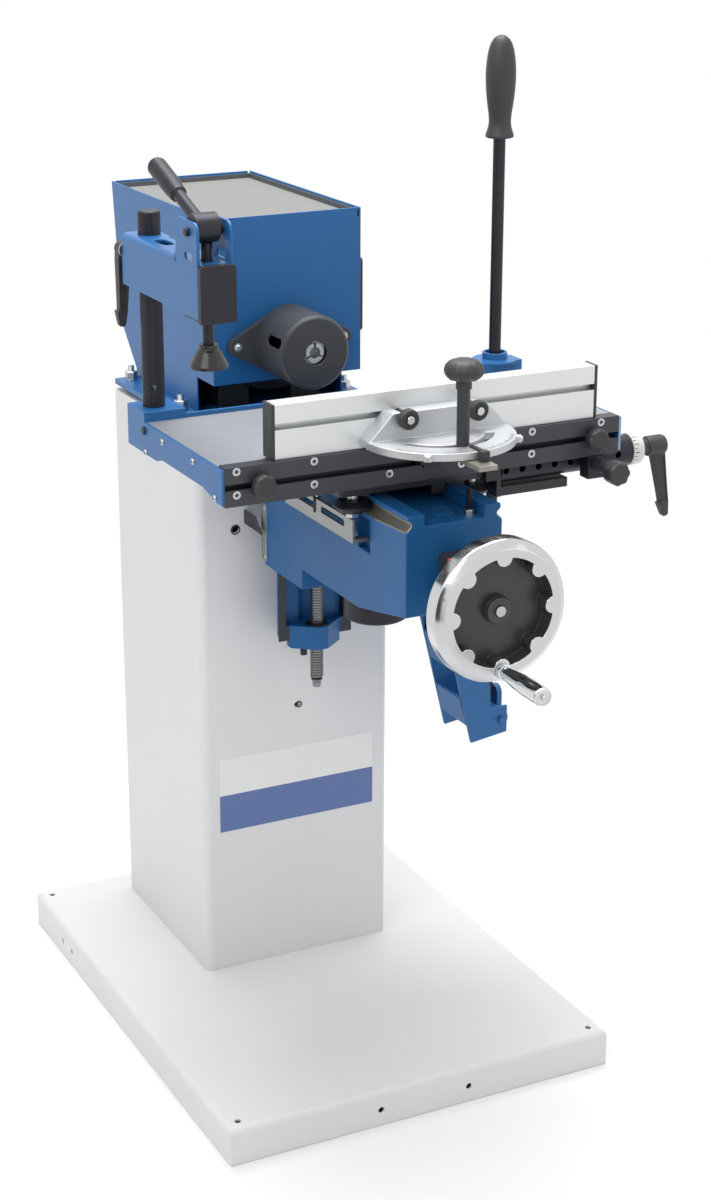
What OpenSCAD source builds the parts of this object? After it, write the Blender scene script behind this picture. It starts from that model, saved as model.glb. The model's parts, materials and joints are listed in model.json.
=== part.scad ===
// Horizontal slot mortiser on a sheet-metal stand.
// X runs along the front, Y to the back, Z up. The origin is under the middle of the base tray.

/* [Stand] */
// Width of the base tray
base_w = 600; // [500:5:700]
// Depth of the base tray
base_d = 790; // [700:5:900]
// Height of the base tray
base_h = 55; // [40:1:80]
// Sheet of the base tray
base_sheet = 4; // [3:0.5:6]
// Outer bend radius of the base tray
base_bend_r = 9; // [7:0.5:14]
// Inset of the floor anchor holes from the tray's sides
anchor_inset = 20; // [16:1:40]
// Diameter of the floor anchor holes
anchor_d = 9; // [6:0.5:14]
// Diameter of the holes in the skirts
skirt_hole_d = 9; // [5:0.5:12]
// Half distance of the front skirt holes
skirt_hole_x = 70; // [40:1:120]
// Middle of the left skirt's pair of holes
skirt_pair_y = 252; // [220:1:280]
// Pitch of the left skirt's pair of holes
skirt_pair = 40; // [30:1:60]
// Width of the column
column_w = 308; // [280:1:340]
// Depth of the column
column_d = 327; // [300:1:360]
// Height of the column above the base tray
column_h = 846; // [820:1:870]
// Front face of the column
column_front_y = 23; // [15:1:35]
// Sheet of the column
column_sheet = 3; // [2:0.5:5]
// Outer bend radius of the column
column_bend_r = 12; // [8:1:20]
// Diameter of the large sight hole in the column
sight_hole_d = 11; // [6:0.5:16]
// Sight hole from the column's left side
sight_hole_x = 58; // [45:1:75]
// Sight hole below the column's top
sight_hole_drop = 142; // [120:1:180]
// Diameter of the small hole in the column
small_hole_d = 7; // [4:0.5:10]
// Small hole above the column's foot
small_hole_z = 414; // [360:1:460]

/* [Motor head] */
// Gap that the levelling nuts leave over the column
level_gap = 8; // [5:0.5:14]
// Thickness of the top plate
top_plate_t = 8; // [5:0.5:12]
// Inset of the top plate from the column's sides
top_plate_inset = 2; // [0:0.5:6]
// Inset of the levelling bolts from the plate's sides
level_bolt_inset = 20; // [17:0.5:22]
// Least gap of the levelling washers from the hood
level_hood_gap = 5; // [3:0.5:10]
// Front levelling bolts
level_front_y = 130; // [110:1:150]
// Height of the levelling studs over the plate
level_stud_h = 22; // [18:0.5:30]
// Shank of the levelling bolts
level_bolt_d = 10; // [8:1:12]
// Width of the hood
hood_w = 233; // [215:1:250]
// Front of the hood
hood_front_y = 44; // [40:1:55]
// Back of the hood at its top
hood_back_y = 427; // [400:1:450]
// Lean of the hood's back panel
hood_lean = 29; // [10:1:45]
// Height of the hood above the top plate
hood_h = 288; // [265:1:310]
// Sheet of the hood
hood_sheet = 2.5; // [1.5:0.5:4]
// Depth of the tray in the hood's top
hood_tray_depth = 13; // [8:0.5:20]
// Slit left open at the corners of the tray's rim
tray_slit = 3; // [1.5:0.5:5]
// Height of the opening under the hood's front
hood_opening_h = 51; // [35:1:55]
// Depth of the opening in the hood's sides
hood_opening_d = 61; // [40:1:80]
// Spindle axis above the top plate
spindle_h = 106; // [98:1:120]
// Diameter of the motor
motor_d = 168; // [140:1:180]
// Length of the motor
motor_l = 260; // [220:1:280]
// Gap between the hood's front and the motor
motor_gap = 24; // [18:1:32]
// Diameter of the motor shaft
spindle_d = 24; // [18:1:28]
// Outer diameter of the chuck guard
guard_d = 106; // [102:1:114]
// Length of the chuck guard
guard_l = 92; // [88:1:100]
// Wall of the chuck guard
guard_wall = 4; // [3:0.5:6]
// Bit hole in the guard's front
guard_hole_d = 34; // [30:1:40]
// Half distance of the guard's screws
guard_ear_x = 83; // [76:1:90]
// Thickness of the guard's flange
guard_flange_t = 12; // [8:1:16]
// Length of the guard's vent slots
vent_l = 44; // [30:1:50]
// Width of the guard's vent slots
vent_w = 14; // [10:0.5:18]
// Lean of the vent slots above the spindle
vent_lean = 17; // [0:1:40]
// Diameter of the chuck body
chuck_d = 54; // [46:1:62]
// Bore of the chuck jaws
chuck_bore_d = 16; // [13:1:18]
// Length of the chuck body
chuck_l = 54; // [46:1:58]
// Middle of the switch box behind the hood's front
switch_back = 110; // [90:1:130]
// Switch box width along the hood
switch_w = 70; // [50:1:90]
// Switch box height
switch_h = 110; // [96:1:130]
// Switch box depth
switch_depth = 42; // [30:1:60]
// Diameter of the switch buttons
button_d = 24; // [18:1:30]
// Travel left behind each button
button_travel = 4; // [2:0.5:6]

/* [Slide and knee] */
// Half width of the dovetail's front
way_half_w = 59; // [54:0.5:64]
// Undercut of the dovetail
way_undercut = 9; // [6:0.5:12]
// Depth of the dovetail
way_depth = 16; // [12:0.5:20]
// Distance of the dovetail's front from the column
way_stand_off = 65; // [60:0.5:68]
// Half width of the channel between the ways
channel_half_w = 46; // [42:0.5:48]
// Lower end of the slide base
slide_z0 = 600; // [580:1:620]
// Upper end of the slide base
slide_z1 = 885; // [860:1:895]
// Gap on the sliding faces
slide_gap = 0.15; // [0.1:0.05:0.4]
// Diameter of the lead screw
screw_d = 20; // [16:1:24]
// Distance of the screw's axis in front of the ways
screw_offset = 5; // [2:0.5:8]
// Lower end of the lead screw
screw_z0 = 524; // [500:1:560]
// Running gap of shafts and pins on the radius
run_gap = 0.05; // [0.02:0.01:0.1]
// Width of the nut boss
nut_boss_w = 80; // [72:1:86]
// Width of the nut boss's front
nut_boss_front = 16; // [10:1:30]
// Reach of the nut boss in front of the screw
nut_boss_reach = 21; // [19:0.5:26]
// Drop of the nut boss under the slide
nut_boss_drop = 12; // [6:0.5:16]
// Depth of the channel between the slide's ways
channel_depth = 14; // [10:0.5:15]
// Half width of the slide's stem
stem_half_w = 28; // [24:0.5:32]
// Height of the nut boss
nut_boss_h = 35; // [30:1:40]
// Outer diameter of the feed nut
nut_d = 34; // [30:1:40]
// Width of the knee
knee_w = 145; // [140:1:150]
// Front of the knee
knee_front_y = -450; // [-470:1:-440]
// Top of the knee's rails
knee_top_z = 906; // [904:0.5:908]
// Depth of the channel in the knee's top
knee_channel_depth = 16; // [12:0.5:20]
// Half width of the channel in the knee's top
knee_channel_half_w = 43; // [38:0.5:46]
// Underside of the knee's rear block
knee_rear_z0 = 717; // [712:1:722]
// Length of the knee's rear block
knee_rear_l = 124; // [110:1:135]
// Underside of the knee's middle
knee_mid_z0 = 746; // [740:1:752]
// Rise of the knee's underside to the front
knee_rise = 25; // [15:1:35]
// Place where the underside starts to rise
knee_rise_y = -322; // [-345:1:-300]
// Place where the knee's sides start to draw in
knee_facet_y = -370; // [-400:1:-350]
// Draw of the knee's sides at its front
knee_facet = 3; // [1:0.5:5]
// Depth of the pocket in the knee's left side
knee_pocket = 10; // [6:0.5:12]
// Length of the pocket in the knee's left side
knee_pocket_l = 34; // [28:1:40]
// Wall of the knee casting
knee_wall = 12; // [9:0.5:15]
// Half width at the bottom of the V ways
vee_half_w = 61; // [59:0.5:62]
// Depth of the V ways' upper flank
vee_upper = 6; // [5:0.5:7]
// Height of the rail's edge above the V ways
vee_edge_h = 6.5; // [5:0.5:8]
// Length of the slotted stop rail
stop_rail_l = 206; // [190:1:220]
// Height of the slotted stop rail
stop_rail_h = 32; // [26:1:36]
// Sheet of the slotted stop rail
stop_rail_t = 4; // [3:0.5:5]
// Distance of the stop rail behind the knee's back
stop_rail_back = 105; // [95:1:115]
// Length of each slot in the stop rail
stop_slot_l = 70; // [50:1:78]
// Width of the slots in the stop rail
stop_slot_w = 9; // [6:0.5:11]
// Distance of the stop rail from the knee's side
stop_rail_out = 12; // [9:0.5:15]
// Diameter of the drum under the knee
drum_d = 88; // [70:1:100]
// Length of the drum under the knee
drum_l = 52; // [40:1:60]
// Distance of the drum's axis behind the knee's front
drum_back = 215; // [195:1:235]
// Radius of the bevel gears' pitch circle
gear_r = 24; // [22:0.5:25]
// Teeth on each bevel gear
gear_teeth = 14; // [12:1:16]
// Face length of the bevel gears
gear_face = 14; // [10:0.5:16]
// Shaft height of the handwheel
wheel_z = 808; // [804:0.5:812]

/* [Handwheel] */
// Diameter of the handwheel
wheel_d = 186; // [170:1:200]
// Depth of the handwheel's rim
wheel_depth = 34; // [28:1:40]
// Gap between the knee's front and the wheel
wheel_gap = 92; // [84:1:104]
// Radius of the opening inside the rim
wheel_open_r = 71; // [66:0.5:74]
// Radius of the eight inward lobes
lobe_r = 11; // [8:0.5:14]
// Depth of the wheel's dish
dish_depth = 22; // [16:0.5:26]
// Radius of the wheel's hub
hub_r = 17; // [15:0.5:22]
// Diameter of the handwheel shaft
shaft_d = 20; // [16:1:22]
// Radius at which the crank sits
crank_r = 76; // [70:0.5:80]
// Length of the crank grip
grip_l = 98; // [80:1:110]
// Diameter of the crank grip
grip_d = 25; // [20:1:28]
// Diameter of the crank's pin
crank_pin_d = 8; // [6:0.5:10]
// Width of the height counter
counter_w = 46; // [40:1:54]
// Height of the height counter
counter_h = 74; // [64:1:80]
// Depth of the height counter
counter_depth = 46; // [30:1:60]

/* [Saddle and rollers] */
// Half width of the saddle plate
saddle_half_w = 112; // [108:1:118]
// Front of the saddle plate
saddle_front_y = -350; // [-356:1:-346]
// Back of the saddle plate
saddle_back_y = -140; // [-150:1:-130]
// Thickness of the saddle plate
saddle_t = 12; // [9:0.5:14]
// Gap between the knee's rails and the saddle
saddle_gap = 3; // [2:0.5:5]
// Radius of the V rollers
roller_r = 25; // [22:0.5:28]
// Thickness of the V rollers
roller_t = 16; // [14:0.5:17]
// Front rollers' axis
roller_front_y = -336; // [-340:1:-328]
// Rear rollers' axis
roller_rear_y = -168; // [-180:1:-160]
// Diameter of the roller bolts
roller_bolt_d = 10; // [8:0.5:12]
// Gap between rollers and ways
roller_gap = 0.3; // [0.2:0.05:0.5]
// Height of the cross dovetail on the saddle
cross_h = 26; // [20:0.5:30]
// Half width at the foot of the cross dovetail
cross_foot = 40; // [34:0.5:42]
// Flare of the cross dovetail
cross_flare = 10; // [6:0.5:12]
// Middle of the cross dovetail
cross_y = -240; // [-244:1:-236]

/* [Index tube] */
// Diameter of the index tube
tube_d = 40; // [36:0.5:42]
// Wall of the index tube
tube_wall = 5; // [3:0.5:8]
// Left end of the index tube
tube_x0 = 121; // [119:0.5:124]
// Length of the index tube
tube_l = 206; // [200:1:214]
// Axis of the index tube, to the back
tube_y = -340; // [-341:0.5:-338]
// Axis of the index tube, up
tube_z = 917; // [914:0.5:918]
// Pitch of the index holes
index_pitch = 25; // [15:0.5:30]
// Diameter of the index holes
index_hole_d = 9; // [6:0.5:10]
// First index hole from the tube's left end
index_first = 6; // [5:0.5:8]
// Hole that the plunger sits in
plunger_step = 5; // [3:1:6]
// Diameter of the tube's spigot
spigot_d = 16; // [12:0.5:18]
// Diameter of the white ring
ring_d = 44; // [42:0.5:45]
// Length of the white ring
ring_l = 18; // [12:0.5:24]
// Length of the tube's clamp lever
clamp_lever_l = 105; // [80:1:120]

/* [Table] */
// Length of the table
table_l = 580; // [540:2:620]
// Depth of the table's surface plate
table_d = 236; // [225:1:244]
// Back of the table's surface plate
table_back_y = -127; // [-129:0.5:-124]
// Thickness of the table's surface plate
table_t = 12; // [9:0.5:15]
// Height of the table's surface
table_z = 977; // [974:0.5:980]
// Sheet of the side plates
side_sheet = 4; // [3:0.5:5]
// Lower edge of the side plates
side_z0 = 931; // [927:0.5:936]
// Lip behind the table's surface
lip_h = 6; // [3:0.5:10]
// Depth of the front rail
rail_depth = 19; // [18:0.5:22]
// Lower edge of the front rail
rail_z0 = 928; // [927:0.5:931]
// Rail's upper edge above the table
rail_over = 2; // [1:0.5:3]
// Slot of the front rail
rail_slot = 8; // [6:0.5:9]
// Middle of the rail's slot
rail_slot_z = 953; // [951:0.5:955]
// Lip thickness of the front rail
rail_lip = 6; // [5:0.5:7]
// Half height of the rail's inner channel
rail_inner = 10; // [8:0.5:12]
// Depth of the rail's inner channel
rail_inner_d = 9; // [8:0.5:10]
// Diameter of the stop knobs
stop_knob_d = 30; // [24:1:34]
// Place of the left stop knob
stop_left_x = -238; // [-250:1:-200]
// Place of the right stop knob
stop_right_x = 246; // [200:1:250]

/* [Mitre gauge and fence] */
// Middle of the mitre gauge
gauge_x = 2; // [-10:1:30]
// Radius of the mitre gauge
gauge_r = 101; // [96:1:106]
// Thickness of the gauge's disc
gauge_t = 10; // [8:0.5:12]
// Pivot of the gauge in front of the fence
gauge_pivot = 21; // [18:0.5:24]
// Radius of the arc slot
arc_slot_r = 66; // [60:0.5:72]
// Width of the arc slot
arc_slot_w = 11; // [9:0.5:13]
// Depth of the gauge's web
web_depth = 28; // [25:0.5:31]
// Wall of the gauge's web
web_wall = 8; // [6:0.5:10]
// Half angle of the arc slot
arc_half = 66; // [55:1:70]
// Height of the gauge's web over the disc
web_h = 34; // [30:0.5:38]
// Half distance of the thumb knobs
thumb_x = 50; // [40:0.5:56]
// Diameter of the thumb knobs
thumb_d = 27; // [22:0.5:32]
// Diameter of the gauge's clamp post
lock_post_d = 16.5; // [14:0.5:20]
// Height of the gauge's clamp post over the disc
lock_post_h = 82; // [65:1:95]
// Diameter of the mushroom knob
mushroom_d = 50; // [40:1:56]
// Front of the fence
fence_front_y = -376; // [-378:0.5:-374]
// Depth of the fence
fence_depth = 26; // [22:0.5:32]
// Height of the fence
fence_h = 70; // [60:1:80]
// Left end of the fence from the gauge's middle
fence_left = 217; // [200:1:230]
// Right end of the fence from the gauge's middle
fence_right = 247; // [225:1:265]
// Groove of the fence
fence_slot = 8; // [7:0.5:9]

/* [Hold-down clamp] */
// Clamp post from the table's left end
post_in = 27; // [26:0.5:30]
// Clamp post behind the table's surface
post_back = 32; // [28:0.5:34]
// Diameter of the clamp post
post_d = 30; // [26:0.5:32]
// Height of the clamp post
post_h = 261; // [240:1:280]
// Seat of the clamp post over the table
seat_h = 13; // [9:0.5:16]
// Underside of the clamp arm over the seat
arm_rise = 162; // [150:1:175]
// Width of the clamp arm
arm_w = 48; // [46:0.5:54]
// Height of the clamp arm
arm_h = 68; // [60:0.5:76]
// Sheet of the clamp arm
arm_sheet = 4; // [3:0.5:5]
// Reach from the post to the spindle
arm_reach = 202; // [190:1:215]
// Height of the cam's pin over the arm's top
ear_h = 37; // [32:0.5:40]
// Offset of the arm's middle from the post
arm_shift = 5; // [0:0.5:6]
// Length of the arm's ears
ear_l = 68; // [60:1:76]
// Top of the ears over the cam's pin
ear_over = 14; // [11:0.5:17]
// Corner radius of the arm's ears
ear_r = 13; // [9:0.5:16]
// Length of the slot in the arm's top
arm_slot_l = 42; // [30:1:50]
// Width of the slot in the arm's top
arm_slot_w = 16; // [12:0.5:20]
// Diameter of the cam
cam_d = 37; // [34:0.5:42]
// Throw of the cam off its pin
cam_throw = 4; // [2:0.5:5]
// Length of the cam lever
cam_lever_l = 172; // [155:1:190]
// Diameter of the cam lever's grip
cam_grip_d = 26; // [20:0.5:30]
// Diameter of the clamp spindle
spindle_rod_d = 14; // [12:0.5:16]
// Diameter of the clamp foot
foot_d = 49; // [44:1:56]
// Height of the clamp foot
foot_h = 30; // [24:1:36]
// Drop of the foot's rim under the arm
foot_drop = 66; // [60:1:72]

/* [Control lever] */
// Lever from the table's right end
lever_in = 32; // [30:0.5:36]
// Lever behind the table's surface
lever_back = 27; // [24:0.5:30]
// Diameter of the lever bar
lever_d = 17; // [14:0.5:19]
// Height of the yoke's pin
yoke_z = 458; // [450:1:466]
// Height of the lever's cross pin over the yoke's pin
cross_pin_h = 28; // [26:0.5:32]
// Top of the lever's grip
grip_top_z = 1451; // [1420:1:1480]
// Length of the lever's grip
lever_grip_l = 139; // [120:1:150]
// Length of the lever bar inside the grip
lever_in_grip = 40; // [30:1:60]
// Greatest diameter of the lever's grip
lever_grip_d = 42; // [36:0.5:48]
// Hole of the lever's guide
guide_hole_d = 28; // [26:0.5:30]
// Height of the guide over the table
guide_h = 23; // [18:0.5:28]
// Half gap of the U bracket
bracket_half = 38; // [34:0.5:42]
// Plate of the U bracket
bracket_t = 5; // [4:0.5:7]
// Length of each web that joins the U bracket's plates
bracket_web_l = 44; // [36:1:56]
// Diameter of the yoke's pin
yoke_pin_d = 12; // [10:0.5:14]

/* [Hidden] */
$fn = 64;
eps = 0.5;
small_gap = 0.5;
column_z1 = base_h + column_h;
column_y = column_front_y + column_d / 2;
plate_z0 = column_z1 + level_gap;
plate_z1 = plate_z0 + top_plate_t;
hood_z1 = plate_z1 + hood_h;
hood_foot_y = hood_back_y - hood_lean - 53;
spindle_z = plate_z1 + spindle_h;
motor_y0 = hood_front_y + motor_gap;
guard_front_y = hood_front_y - guard_l;
chuck_front_y = guard_front_y + 6;
chuck_back_y = chuck_front_y + chuck_l;
way_front_y = column_front_y - way_stand_off;
way_neck_y = way_front_y + way_depth;
knee_back_y = way_neck_y - 1;
screw_y = way_front_y - screw_offset;
rail_front_end = knee_back_y - stop_rail_back - stop_rail_l;
vee_z = knee_top_z - vee_edge_h - vee_upper;
shoulder_z = vee_z - (knee_w / 2 - vee_half_w);
rail_foot_z = shoulder_z - stop_rail_h - 9;
deck_z = knee_top_z - knee_channel_depth;
gear_cone = gear_r * sqrt(2);
gear_hub_l = 12;
gear_back = gear_r + 2;
pocket_z0 = wheel_z - gear_back - gear_hub_l - 1;
pocket_y0 = screw_y - gear_back - gear_hub_l - 1;
wheel_back_y = knee_front_y - wheel_gap;
wheel_front_y = wheel_back_y - wheel_depth;
saddle_z0 = knee_top_z + saddle_gap;
saddle_z1 = saddle_z0 + saddle_t;
roller_x = vee_half_w + roller_r + 1 + roller_gap * 1.4;
tube_block_x = roller_x + roller_bolt_d * 0.85 + 1.5;
tube_x1 = tube_x0 + tube_l;
ring_x1 = tube_x1 + ring_l;
plunger_x = tube_x0 + index_first + plunger_step * index_pitch;
table_x1 = table_l / 2;
table_front_y = table_back_y - table_d;
table_z0 = table_z - table_t;
rail_front_y = table_front_y - rail_depth;
rail_top_z = table_z + rail_over;
cross_z1 = saddle_z1 + cross_h;
gauge_y = fence_front_y - gauge_pivot;
base_arm_z0 = rail_top_z + small_gap;
base_arm_t = 4;
disc_z0 = base_arm_z0 + base_arm_t + 0.3;
disc_z1 = disc_z0 + gauge_t;
web_z1 = disc_z1 + web_h;
thumb_z = disc_z1 + web_h * 0.8;
fence_z0 = rail_top_z + small_gap;
lock_y = gauge_y - arc_slot_r;
post_x = -table_x1 + post_in;
post_y = table_back_y + post_back;
seat_z = table_z + seat_h;
arm_z0 = seat_z + arm_rise;
arm_z1 = arm_z0 + arm_h;
arm_x = post_x - arm_shift;
arm_x0 = arm_x - arm_w / 2;
arm_x1 = arm_x + arm_w / 2;
rod_y_pos = post_y - arm_reach;
cam_z = arm_z1 + ear_h;
rod_top_z = cam_z + cam_throw - cam_d / 2 - 0.2;
foot_z0 = arm_z0 - foot_drop;
lever_x = table_x1 - lever_in;
lever_y = table_back_y + lever_back;
cross_pin_z = yoke_z + cross_pin_h;
grip_z0 = grip_top_z - lever_grip_l;
guide_z = table_z + guide_h;
switch_y = hood_front_y + switch_back;
switch_z = plate_z1 + hood_h / 2;

// Rounded rectangle about the origin
module round_rect(w, d, r) {
    square([w - 2 * r, d], center = true);
    square([w, d - 2 * r], center = true);
    for (x = [-1, 1], y = [-1, 1]) translate([x * (w / 2 - r), y * (d / 2 - r)]) circle(r);
}

// Profile with square feet and rounded shoulders, standing on the axis
module shouldered(w, h, r) {
    translate([-w / 2, 0]) square([w, h - r]);
    translate([-w / 2 + r, 0]) square([w - 2 * r, h]);
    for (x = [-1, 1]) translate([x * (w / 2 - r), h - r]) circle(r);
}

// Box between two corners
module box(a, b) { translate(a) cube(b - a); }

// Flat shape in X and Z, drawn out between two places along Y
module along_y(y0, y1) { translate([0, y1, 0]) rotate([90, 0, 0]) linear_extrude(y1 - y0) children(); }

// Flat shape in Y and Z, drawn out between two places along X
module along_x(x0, x1) { translate([x0, 0, 0]) rotate([90, 0, 90]) linear_extrude(x1 - x0) children(); }

// Round bar along each axis
module rod_y(d, y0, y1) { translate([0, y1, 0]) rotate([90, 0, 0]) cylinder(d = d, h = y1 - y0); }
module rod_x(d, x0, x1) { translate([x0, 0, 0]) rotate([0, 90, 0]) cylinder(d = d, h = x1 - x0); }
module rod_z(d, z0, z1) { translate([0, 0, z0]) cylinder(d = d, h = z1 - z0); }

// Turned shape: the first number is the radius, the second runs along the axis
module turned_z(points) { rotate_extrude() polygon(points); }
module turned_back(points) { rotate([-90, 0, 0]) rotate_extrude() polygon(points); }

// Folded tray with rounded shoulders on all four sides
module tray(w, d, h, r) {
    intersection() {
        along_y(-d / 2, d / 2) shouldered(w, h, r);
        along_x(-w / 2, w / 2) shouldered(d, h, r);
    }
}

module base_plate() {
    color("#d4d8db") difference() {
        tray(base_w, base_d, base_h, base_bend_r);
        translate([0, 0, -eps])
            tray(base_w - 2 * base_sheet, base_d - 2 * base_sheet, base_h - base_sheet + eps,
                base_bend_r - base_sheet);
        for (x = [-1, 1], y = [-1, 1])
            translate([x * (base_w / 2 - anchor_inset), y * (base_d / 2 - anchor_inset), 0])
                rod_z(anchor_d, base_h / 2, base_h + eps);
        for (x = [-1, 1])
            translate([x * skirt_hole_x, 0, base_h * 0.44])
                rod_y(skirt_hole_d, -base_d / 2 - eps, -base_d / 2 + base_sheet + eps);
        for (side = [-1, 1])
            translate([0, skirt_pair_y + side * skirt_pair / 2, base_h * 0.44])
                rod_x(skirt_hole_d, -base_w / 2 - eps, -base_w / 2 + base_sheet + eps);
    }
}

module column() {
    color("#c9cdd0") translate([0, column_y, base_h]) difference() {
        linear_extrude(column_h) round_rect(column_w, column_d, column_bend_r);
        translate([0, 0, -eps]) linear_extrude(column_h - column_sheet + eps)
            round_rect(column_w - 2 * column_sheet, column_d - 2 * column_sheet,
                column_bend_r - column_sheet);
        translate([-column_w / 2 + sight_hole_x, 0, column_h - sight_hole_drop])
            rod_y(sight_hole_d, -column_d / 2 - eps, -column_d / 2 + column_sheet + eps);
        translate([0, 0, small_hole_z])
            rod_y(small_hole_d, -column_d / 2 - eps, -column_d / 2 + column_sheet + eps);
    }
}

module at_level_bolts() {
    plate_x = column_w / 2 - top_plate_inset - level_bolt_inset;
    bolt_x = max(plate_x, hood_w / 2 + level_hood_gap + level_bolt_d);
    rear_y = column_front_y + column_d - top_plate_inset - level_bolt_inset;
    for (side = [-1, 1], y = [level_front_y, rear_y])
        translate([side * bolt_x, y, 0]) children();
}

module top_plate() {
    color("#4a76a6") difference() {
        translate([0, column_y, plate_z0]) linear_extrude(top_plate_t)
            round_rect(column_w - 2 * top_plate_inset, column_d - 2 * top_plate_inset, 4);
        at_level_bolts() rod_z(level_bolt_d, plate_z0 - eps, plate_z1 + eps);
    }
}

// Stud with a hexagon nut under and over the plate
module levelling_bolts() {
    color("#b9bcbe") at_level_bolts() {
        rod_z(level_bolt_d, column_z1, plate_z1 + level_stud_h);
        translate([0, 0, column_z1]) cylinder(d = level_bolt_d * 1.9, h = level_gap, $fn = 6);
        rod_z(level_bolt_d * 2, plate_z1, plate_z1 + 2);
        translate([0, 0, plate_z1 + 2]) cylinder(d = level_bolt_d * 1.9, h = level_bolt_d * 0.8, $fn = 6);
    }
}

// Side outline of the hood, drawn in by a wall
function hood_outline(t) = [
    [hood_front_y + t, plate_z1 + hood_opening_h], [hood_front_y + t, hood_z1 - t],
    [hood_back_y - t, hood_z1 - t], [hood_back_y - hood_lean - t, plate_z1 + 69],
    [hood_foot_y - t, plate_z1 + 13], [hood_foot_y - t, plate_z1],
    [hood_front_y + hood_opening_d + t, plate_z1],
    [hood_front_y + hood_opening_d + t, plate_z1 + hood_opening_h]];

module motor_hood() {
    floor_z = hood_z1 - hood_tray_depth;
    color("#4f7fb3") difference() {
        along_x(-hood_w / 2, hood_w / 2) polygon(hood_outline(0));
        difference() {
            along_x(-hood_w / 2 + hood_sheet, hood_w / 2 - hood_sheet) polygon(hood_outline(hood_sheet));
            box([-hood_w, 0, floor_z - hood_sheet], [hood_w, hood_back_y + eps, floor_z]);
        }
        box([-hood_w / 2 + hood_sheet, hood_front_y + hood_sheet, floor_z],
            [hood_w / 2 - hood_sheet, hood_back_y - hood_sheet, hood_z1 + eps]);
        box([-hood_w / 2 + hood_sheet, hood_front_y + hood_sheet, plate_z1 - eps],
            [hood_w / 2 - hood_sheet, hood_foot_y - hood_sheet, plate_z1 + hood_opening_h + eps]);
        for (side = [-1, 1]) translate([side * (hood_w / 2 - hood_sheet - tray_slit / 2), 0, 0])
            box([-tray_slit / 2, hood_front_y - eps, floor_z],
                [tray_slit / 2, hood_back_y + eps, hood_z1 + eps]);
        translate([0, 0, spindle_z])
            rod_y(chuck_d + 10, hood_front_y - eps, hood_front_y + hood_sheet + eps);
        for (y = [-20, 20])
            translate([0, switch_y + y, switch_z]) rod_x(5, 0, hood_w);
    }
}

module motor_body() {
    bell = 30;
    color("#26282a") difference() {
        union() {
            translate([0, motor_y0, spindle_z]) turned_back([[0, 0], [motor_d * 0.3, 0],
                [motor_d / 2 - 4, bell * 0.5], [motor_d / 2 - 4, bell], [motor_d / 2, bell],
                [motor_d / 2, motor_l - bell], [motor_d / 2 - 4, motor_l - bell],
                [motor_d / 2 - 4, motor_l - 8], [motor_d / 2 - 14, motor_l], [0, motor_l]]);
            for (x = [-1, 1])
                translate([x * motor_d * 0.34, 0, 0])
                    box([-motor_d * 0.14, motor_y0 + bell + 10, plate_z1],
                        [motor_d * 0.14, motor_y0 + motor_l - bell - 10, spindle_z - motor_d * 0.3]);
        }
        translate([0, 0, spindle_z])
            rod_y(spindle_d + 2 * run_gap, motor_y0 - eps, motor_y0 + motor_l / 2);
    }
}

// Rhombic flange with two ears, and a drum with the bit hole
module chuck_guard() {
    ear_d = 26;
    vent_y = guard_front_y + vent_l / 2 + 8;
    color("#1d1e20") translate([0, 0, spindle_z]) difference() {
        union() {
            rod_y(guard_d, guard_front_y + 4, hood_front_y);
            translate([0, guard_front_y, 0]) turned_back([[0, 0], [guard_d / 2 - 4, 0],
                [guard_d / 2, 4], [0, 4]]);
            along_y(hood_front_y - guard_flange_t, hood_front_y) hull() {
                circle(d = guard_d - 2, $fn = 48);
                for (x = [-1, 1]) translate([x * guard_ear_x, 0]) circle(d = ear_d, $fn = 32);
            }
        }
        rod_y(guard_d - 2 * guard_wall, guard_front_y + guard_wall, hood_front_y + eps);
        rod_y(guard_hole_d, guard_front_y - eps, hood_front_y);
        for (x = [-1, 1]) translate([x * guard_ear_x, 0, 0])
            rod_y(5.5, hood_front_y - guard_flange_t - eps, hood_front_y + eps);
        for (a = [180 + vent_lean, -vent_lean]) rotate([0, a, 0]) translate([0, vent_y, 0]) {
            box([guard_d / 2 - 9, -vent_l / 2 + vent_w / 2, -vent_w / 2],
                [guard_d / 2 + eps, vent_l / 2 - vent_w / 2, vent_w / 2]);
            for (side = [-1, 1]) translate([0, side * (vent_l - vent_w) / 2, 0])
                rod_x(vent_w, guard_d / 2 - 9, guard_d / 2 + eps);
        }
    }
}

module way_profile(gap) {
    neck = way_half_w - way_undercut + gap;
    polygon([[-neck, way_neck_y + 1], [neck, way_neck_y + 1], [neck, way_neck_y],
        [way_half_w + gap, way_front_y - gap], [-way_half_w - gap, way_front_y - gap], [-neck, way_neck_y]]);
}

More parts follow.
